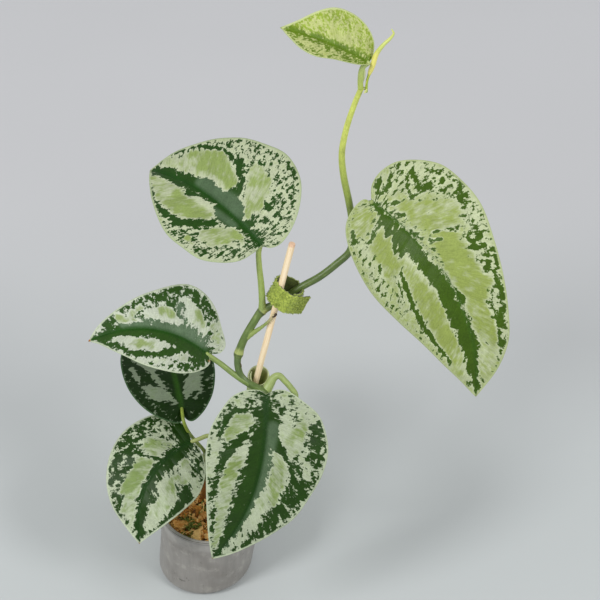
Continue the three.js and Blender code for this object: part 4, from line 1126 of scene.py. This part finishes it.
def build_sheath():
    rows, columns = SHEATH_GRID
    x, y, z = SHEATH_TOP
    lean = [(STICK_HEAD[i] - STICK_FOOT[i]) / (STICK_HEAD[2] - STICK_FOOT[2]) for i in (0, 1)]
    share = np.linspace(0, 1, rows)[:, None]
    down = np.linspace(0, 1, columns)[None, :]
    turn = np.radians(SHEATH_START + SHEATH_SWEEP * share)

    def around(radius, down):
        drop = SHEATH_HEIGHT * down
        return np.stack([
            x - drop * lean[0] + radius * np.cos(turn), y - drop * lean[1] + radius * np.sin(turn),
            z - drop + SHEATH_SLOPE * radius * np.sin(turn) * (1 - down)], -1)

    sides = []
    for lift in SHEATH_LIFTS:
        radius = lerp(*SHEATH_RADIUS, share) - SHEATH_TAPER * down + lift
        sides.append(around(radius + 0.15 * np.sin(3 * turn) * (1 - down), down))
    pale = np.broadcast_to(smooth(0.12, 0.02, down), SHEATH_GRID).ravel()
    sheath = Shape()
    sheath.add_shell(*sides, pale=pale, inner=(0.0, 1.0))
    rim = around(lerp(*SHEATH_RADIUS, share), 0)[:, 0]
    sheath.add_tube(rim, 0.5 + 0.1 * np.sin(np.linspace(0, 22, rows)), 8, pale=1.0, inner=0.0)
    sheath.build("sheath_roll", "sheath", [sheath_look()], ["rolled_sheath"])


def build_stick():
    share = np.linspace(0, 1, STICK_RINGS)
    line = at_shares(np.array([STICK_FOOT, STICK_HEAD], float), share)
    radius = np.minimum(STICK_RADIUS, lerp(STICK_TIP_RADIUS, STICK_RADIUS, share / 0.02))
    radius = radius * (1 + 0.025 * ripple(line, 40, 9))
    radius[-1] *= 0.9
    turn = full_turn(STICK_SIDES)
    facet = 1 + 0.02 * np.cos(turn * 5 + 1)[None, :, None]
    points = line[:, None] + spokes(*frames_along(line), turn) * radius[:, None, None] * facet
    stick = Shape()
    stick.add(points, grid_faces(STICK_RINGS, STICK_SIDES, wrap=True),
              far=np.repeat(lengths_along(line), STICK_SIDES), round=np.tile(turn, STICK_RINGS),
              end=np.repeat(smooth(0.985, 1, share), STICK_SIDES))
    for ring, order, end in ((0, -1, 0.0), (-1, 1, 1.0)):
        corners = np.arange(STICK_SIDES)[::order]
        fan = [[a, b, STICK_SIDES] for a, b in zip(corners, np.roll(corners, -1))]
        stick.add(np.vstack([points[ring], line[ring]]), fan, far=0.0, round=0.0, end=end)
    stick.build("stick", "support_stick", [wood_look()], ["support_stick"])


def build_tie():
    axis = unit(np.array(TIE_AXIS, float))
    across = unit(np.array([1.0, 0, 0]) - axis * axis[0])
    backward = np.cross(axis, across)
    first, lap, lapped, last = TIE_TURNS
    turns = np.arange(first, last, 3.0)
    rise = smooth(lap, lapped, turns) * (TIE_THICKNESS + 0.3)
    loop = np.stack([(TIE_HALF_LENGTH + rise) * np.cos(np.radians(turns)),
                     (TIE_HALF_WIDTH + rise) * np.sin(np.radians(turns))], 1)
    ahead = unit(loop[-1] - loop[-2])
    loop = np.vstack([loop, loop[-1] + ahead * np.linspace(0.4, TIE_TAIL, TIE_TAIL_POINTS)[:, None]])
    way = unit(np.gradient(loop, axis=0))
    outward = np.stack([way[:, 1], -way[:, 0]], 1)
    edges = np.linspace(-0.5, 0.5, TIE_COLUMNS)
    rows = len(loop)
    reach = edges[None, :] * TIE_STRIP + TIE_RAISE
    for ragged, row, seed in ((edges > TIE_EDGE, 0.0, 21), (edges < -TIE_EDGE, 9.0, 22)):
        places = np.stack([np.arange(rows) * 0.6, np.full(rows, row)], -1)
        reach = reach + np.where(ragged, 0.55 * ripple(places, 3.0, seed)[:, None], 0)
    lumps = np.random.default_rng(8).normal(size=(rows, TIE_COLUMNS)) * 0.13

    def face(lift):
        flat = loop[:, None] + outward[:, None] * lift[..., None]
        return (np.array(TIE_CENTRE) + flat[..., :1] * across + flat[..., 1:] * backward
                + reach[..., None] * axis)

    outer = face(TIE_THICKNESS + lumps)
    inner = face(np.zeros_like(lumps))
    along = np.append(turns, np.full(TIE_TAIL_POINTS, last + 10.0))
    tail_dark = 0.45 * smooth(last - 14, last + 4, along)
    tie = Shape()
    # The inside face is dark with painted shade; the outer face darkens towards the tail
    tie.add_shell(inner, outer, inner=(1.0, np.repeat(tail_dark, TIE_COLUMNS)))
    rng = np.random.default_rng(12)
    for _ in range(TIE_HOOKS):
        i = rng.integers(1, rows - 1)
        here = outer[i, rng.integers(0, TIE_COLUMNS)]
        out = outward[i, 0] * across + outward[i, 1] * backward
        drift = unit(rng.normal(size=3))
        height = rng.uniform(0.25, 0.6)
        hook = np.array([here - out * 0.1, here + out * height + drift * 0.25, here + drift * 0.55])
        tie.add_tube(spline(hook, 3), 0.09, 4, inner=tail_dark[i])
    tie.build("tie_strip", "tie_fabric", [tie_look()], ["tie_band"])


# Pot

POT_SIDES = 160
LIP_RIDGES = (0.5, 1.3, 2.1)
LIP_LINE_HEIGHT = 48.9
SCUFF_PLACE = (-12, 12)


def pot_lean(z):
    return POT_LEAN * z / POT_HEIGHT


def wall_radius(z):
    share = (z - POT_EDGE_ROUND) / (POT_HEIGHT - POT_EDGE_ROUND)
    return lerp(POT_BASE_RADIUS, POT_RIM_RADIUS - POT_LIP_OVERHANG, share)


def arc(middle, height, radius, degrees):
    """(radius, height) of points of an arc round a place of the profile."""
    angles = np.radians(degrees)
    return list(zip(middle + radius * np.cos(angles), height + radius * np.sin(angles)))


def pot_profile():
    """(radius, height, inside) down the outside, from the rim over and back up the inside."""
    foot = POT_BASE_RADIUS - POT_EDGE_ROUND
    lip_foot = POT_HEIGHT - POT_LIP_HEIGHT
    lip_round = POT_LIP_HEIGHT / 2
    outside = [(r, 0.0) for r in np.linspace(0.05, foot, 12)]
    outside += arc(foot, POT_EDGE_ROUND, POT_EDGE_ROUND, np.linspace(-90, 0, 14)[1:])
    outside += [(wall_radius(z), z) for z in np.linspace(POT_EDGE_ROUND + 1, lip_foot, 24)]
    outside += arc(POT_RIM_RADIUS - lip_round, lip_foot + lip_round, lip_round, np.linspace(-80, 160, 70))
    inside = [(wall_radius(z) - POT_WALL, z) for z in np.linspace(lip_foot, POT_EDGE_ROUND, 24)]
    inside += arc(foot, POT_EDGE_ROUND, POT_EDGE_ROUND - POT_WALL, np.linspace(0, -90, 12)[1:])
    inside += [(r, POT_WALL) for r in np.linspace(foot, 0.05, 8)[1:]]
    return np.array([(r, z, 0.0) for r, z in outside] + [(r, z, 1.0) for r, z in inside])


def build_pot():
    profile = pot_profile()
    radius, height, inside = profile[:, :1], profile[:, 1:2], profile[:, 2:]
    turn = full_turn(POT_SIDES)
    waves = np.sin(2 * turn + 0.6) + 0.6 * np.sin(5 * turn + 2) + 0.3 * np.sin(9 * turn)
    dent = 1 + 0.006 * smooth(10, 40, height) * waves
    x = radius * dent * np.cos(turn) + pot_lean(height)
    y = radius * dent * np.sin(turn)
    z = height + 0.35 * smooth(40, 52, height) * (np.sin(3 * turn + 1) - 1)
    off_scuff = np.hypot((x - SCUFF_PLACE[0]) / 1.8, z - SCUFF_PLACE[1])
    scuff = 0.6 * smooth(2.4, 0.8, off_scuff) * (y < 0)
    lip_foot = POT_HEIGHT - POT_LIP_HEIGHT
    ridge = sum(bell(height, lip_foot + level, 0.17) for level in LIP_RIDGES)
    ridge = np.clip(ridge + 0.6 * bell(height, LIP_LINE_HEIGHT, 0.4), 0, 1)
    ridge = ridge * (0.65 + 0.3 * np.sin(3 * turn + 1)) * (inside < 0.5)
    values = {"height": height / POT_HEIGHT, "inside": inside, "scuff": scuff, "ridge": ridge}
    values = {key: np.broadcast_to(value, x.shape).ravel() for key, value in values.items()}
    pot = Shape()
    pot.add(np.stack([x, y, z], -1), grid_faces(len(profile), POT_SIDES, wrap=True), **values)
    pot.build("grey_pot", "pot", [pot_look()], ["pot"])


# Potting mix, bark, coir and moss

MIX_SIDES = 140
MIX_RINGS = 60
MIX_GAP = 0.3
MIX_BOTTOM = 1.8
CHIP_GRID = (26, 40)
BIT_GRID = (10, 14)
BARK_BITS = 420
COIR_STRINGS = 170
MOSS_SPRIGS = 640
MOSS_SPREAD = 2.6
MOSS_SPOTS = [(-17, -13), (-14, -9), (-6, 0), (6, 22), (20, 8), (-24, -10), (-13, -21), (-9, -14)]


def mix_radius(z):
    return wall_radius(z) - POT_WALL - MIX_GAP


MIX_EDGE = mix_radius(MIX_TOP)


def mix_height(x, y):
    r = np.hypot(x, y) / wall_radius(MIX_TOP)
    lumps = np.sin(x * MIX_WAVE + 1) * np.cos(y * MIX_WAVE)
    lumps = lumps + MIX_FINE_LUMPS * np.sin(2 * x * MIX_WAVE + 1.5 * y * MIX_WAVE)
    return MIX_TOP + MIX_CROWN * (1 - r * r) + MIX_LUMP * lumps * (1 - r**4)


def on_mix(x, y, raise_by=0.0):
    z = float(mix_height(x, y)) + raise_by
    return np.array([x + pot_lean(z), y, z])


def build_mix():
    turn = full_turn(MIX_SIDES)
    share = np.linspace(0.002, 1, MIX_RINGS)[:, None]
    x = share * MIX_EDGE * np.cos(turn)
    y = share * MIX_EDGE * np.sin(turn)
    flat = np.stack([x, y], -1)
    crumbs = 0.7 * ripple(flat, 3.0, 31) + 0.4 * ripple(flat, 1.4, 32)
    z = mix_height(x, y) + crumbs * smooth(1, 0.9, share) - 0.4
    rings = list(np.stack([x + pot_lean(z), y, z], -1))
    levels = [(z, mix_radius(z), pot_lean(z)) for z in np.linspace(MIX_TOP - 1, POT_EDGE_ROUND, 10)]
    for level, radius, lean in (*levels, (MIX_BOTTOM, 20, 0), (MIX_BOTTOM, 0.1, 0)):
        rings.append(np.stack([
            radius * np.cos(turn) + lean, radius * np.sin(turn), np.full(MIX_SIDES, level)], -1))
    soil = Shape()
    soil.add(np.array(rings), grid_faces(len(rings), MIX_SIDES, wrap=True)[:, ::-1])
    soil.build("potting_mix_crumbs", "potting_mix", [mix_look()], ["potting_mix"])


def rough_ball(grid, seed):
    """A blocky ball of about unit radius with a rough skin, wider at one end."""
    polar, azimuth = np.meshgrid(
        np.linspace(0.001, math.pi - 0.001, grid[0]), full_turn(grid[1]), indexing="ij")
    ball = np.stack([np.sin(polar) * np.cos(azimuth), np.sin(polar) * np.sin(azimuth), np.cos(polar)], -1)
    ball = np.sign(ball) * np.abs(ball) ** 0.6
    rough = 0.25 * ripple(ball * 2, 2.2, seed) + 0.16 * ripple(ball * 2, 0.9, seed + 7)
    if grid == CHIP_GRID:
        rough = rough + 0.1 * ripple(ball * 2 * (1, 3, 3), 1.1, seed + 9)
    ball = ball * (1 + rough)[..., None]
    ball[..., 1] *= 1 - 0.25 * ball[..., 0]
    return ball


def add_chip(shape, centre, turn, tilt, roll, size, tone, seed, grid=BIT_GRID):
    points = rough_ball(grid, seed) * np.array(size) / 2
    for angle, (a, b) in ((roll, (1, 2)), (tilt, (2, 0)), (turn, (0, 1))):
        c, s = math.cos(angle), math.sin(angle)
        pa, pb = points[..., a].copy(), points[..., b].copy()
        points[..., a], points[..., b] = c * pa - s * pb, s * pa + c * pb
    shape.add(points + centre, grid_faces(*grid, wrap=True)[:, ::-1], chip=tone)


def build_bark_and_moss():
    bark = bark_look()
    chips = Shape()
    for number, (x, y, turn, tilt, *size) in enumerate(CHIPS):
        tone = 0.62 + 0.36 * math.sin(number * 2.1)
        add_chip(chips, on_mix(x, y, CHIP_RAISE), math.radians(turn), math.radians(tilt), 0, size,
                 tone, number, CHIP_GRID)
    chips.build("bark_chips", "bark", [bark], [f"bark_chip_{i + 1}" for i in range(len(CHIPS))])

    rng = np.random.default_rng(77)

    def random_place(spread):
        """A place on the mix, as x and y."""
        far = MIX_EDGE * math.sqrt(rng.uniform(0, spread))
        around = rng.uniform(0, 2 * math.pi)
        return far * math.cos(around), far * math.sin(around)

    bits = Shape()
    for number in range(BARK_BITS):
        place = random_place(0.93)
        long = rng.uniform(1.6, 5.5)
        size = (long, long * rng.uniform(0.35, 0.8), rng.uniform(0.8, 2.2))
        add_chip(bits, on_mix(*place, rng.uniform(-0.2, 1.4)), rng.uniform(0, 6.3),
                 rng.normal() * 0.4, rng.normal() * 0.4, size,
                 float(np.clip(rng.normal(0.74, 0.3), 0, 1)), number + 100)
    for _ in range(COIR_STRINGS):
        start = on_mix(*random_place(0.9), rng.uniform(0.6, 1.8))
        heading = rng.uniform(0, 6.3)
        step = np.array([math.cos(heading), math.sin(heading), 0]) * rng.uniform(1.2, 4)
        bend = rng.normal(size=3) * 0.9
        route = [start - step, start + bend * 0.5 + (0, 0, 0.5), start + step + bend * 0.4]
        bits.add_tube(spline(route, 6), rng.uniform(0.14, 0.38), 5, chip=rng.uniform(0.5, 1.0))
    bits.build("bark_bits", "bark", [bark])

    moss = Shape()
    for number in range(MOSS_SPRIGS):
        x, y = np.array(MOSS_SPOTS[number % len(MOSS_SPOTS)]) + rng.normal(size=2) * MOSS_SPREAD
        inward = min(1, (MIX_EDGE - 1) / math.hypot(x, y))
        start = on_mix(x * inward, y * inward, 0.6)
        way = unit(rng.normal(size=3) * (1, 1, 0.4) + (0, 0, 0.7))
        route = [start, start + way * 1.0, start + way * 1.8 + rng.normal(size=3) * 0.4]
        moss.add_tube(spline(route, 3), np.linspace(0.3, 0.12, 7), 4)
    moss.build("moss_sprigs", "bark", [moss_look()])


# Floor, light and camera

FLOOR_HALF_SIDE = 25.0
LIGHT_TARGET = (0.02, 0.0, 0.12)
LIGHT_SIZE = 0.45
# Place and power of each light
LIGHTS = {
    "front_left": ((-0.88, -0.72, 1.13), 10.6),
    "front_right": ((0.95, -0.72, 1.13), 8.0),
}
WORLD_COLOUR = (0.98, 0.985, 1, 1)
WORLD_STRENGTH = 0.55
CAMERA_PLACE = (0.060, -0.572, 0.6565)
# Degrees below level
CAMERA_TILT = 38
SENSOR_WIDTH = 36
FRAME_PIXELS = 600
FOCAL_PIXELS = 1353


def build_floor():
    mesh = bpy.data.meshes.new("floor")
    corners = [(x * FLOOR_HALF_SIDE, y * FLOOR_HALF_SIDE, 0) for x, y in ((-1, -1), (1, -1), (1, 1), (-1, 1))]
    mesh.from_pydata(corners, [], [(0, 1, 2, 3)])
    mesh.materials.append(floor_look())
    floor = bpy.data.objects.new("floor", mesh)
    bpy.context.scene.collection.objects.link(floor)


def add_light(name, place, power):
    light = bpy.data.lights.new(name, "AREA")
    light.shape = "DISK"
    light.size = LIGHT_SIZE
    light.energy = power
    lamp = bpy.data.objects.new(name, light)
    lamp.location = place
    lamp.rotation_mode = "QUATERNION"
    lamp.rotation_quaternion = (Vector(LIGHT_TARGET) - Vector(place)).to_track_quat("-Z", "Y")
    bpy.context.scene.collection.objects.link(lamp)


def light_world():
    world = bpy.data.worlds.new("studio")
    world.use_nodes = True
    background = world.node_tree.nodes["Background"]
    background.inputs["Color"].default_value = WORLD_COLOUR
    background.inputs["Strength"].default_value = WORLD_STRENGTH
    bpy.context.scene.world = world
    bpy.context.scene.view_settings.view_transform = "Standard"


def add_camera():
    data = bpy.data.cameras.new("camera")
    data.sensor_width = SENSOR_WIDTH
    data.lens = FOCAL_PIXELS * SENSOR_WIDTH / FRAME_PIXELS
    camera = bpy.data.objects.new("camera", data)
    camera.location = CAMERA_PLACE
    camera.rotation_euler = (math.radians(90 - CAMERA_TILT), 0, 0)
    bpy.context.scene.collection.objects.link(camera)
    bpy.context.scene.camera = camera


build_leaves()
build_stem()
build_petioles()
build_aerial_root()
build_shoot()
build_bract()
build_sheath()
build_stick()
build_tie()
build_pot()
build_mix()
build_bark_and_moss()
build_floor()
for name, (place, power) in LIGHTS.items():
    add_light(name, place, power)
light_world()
add_camera()
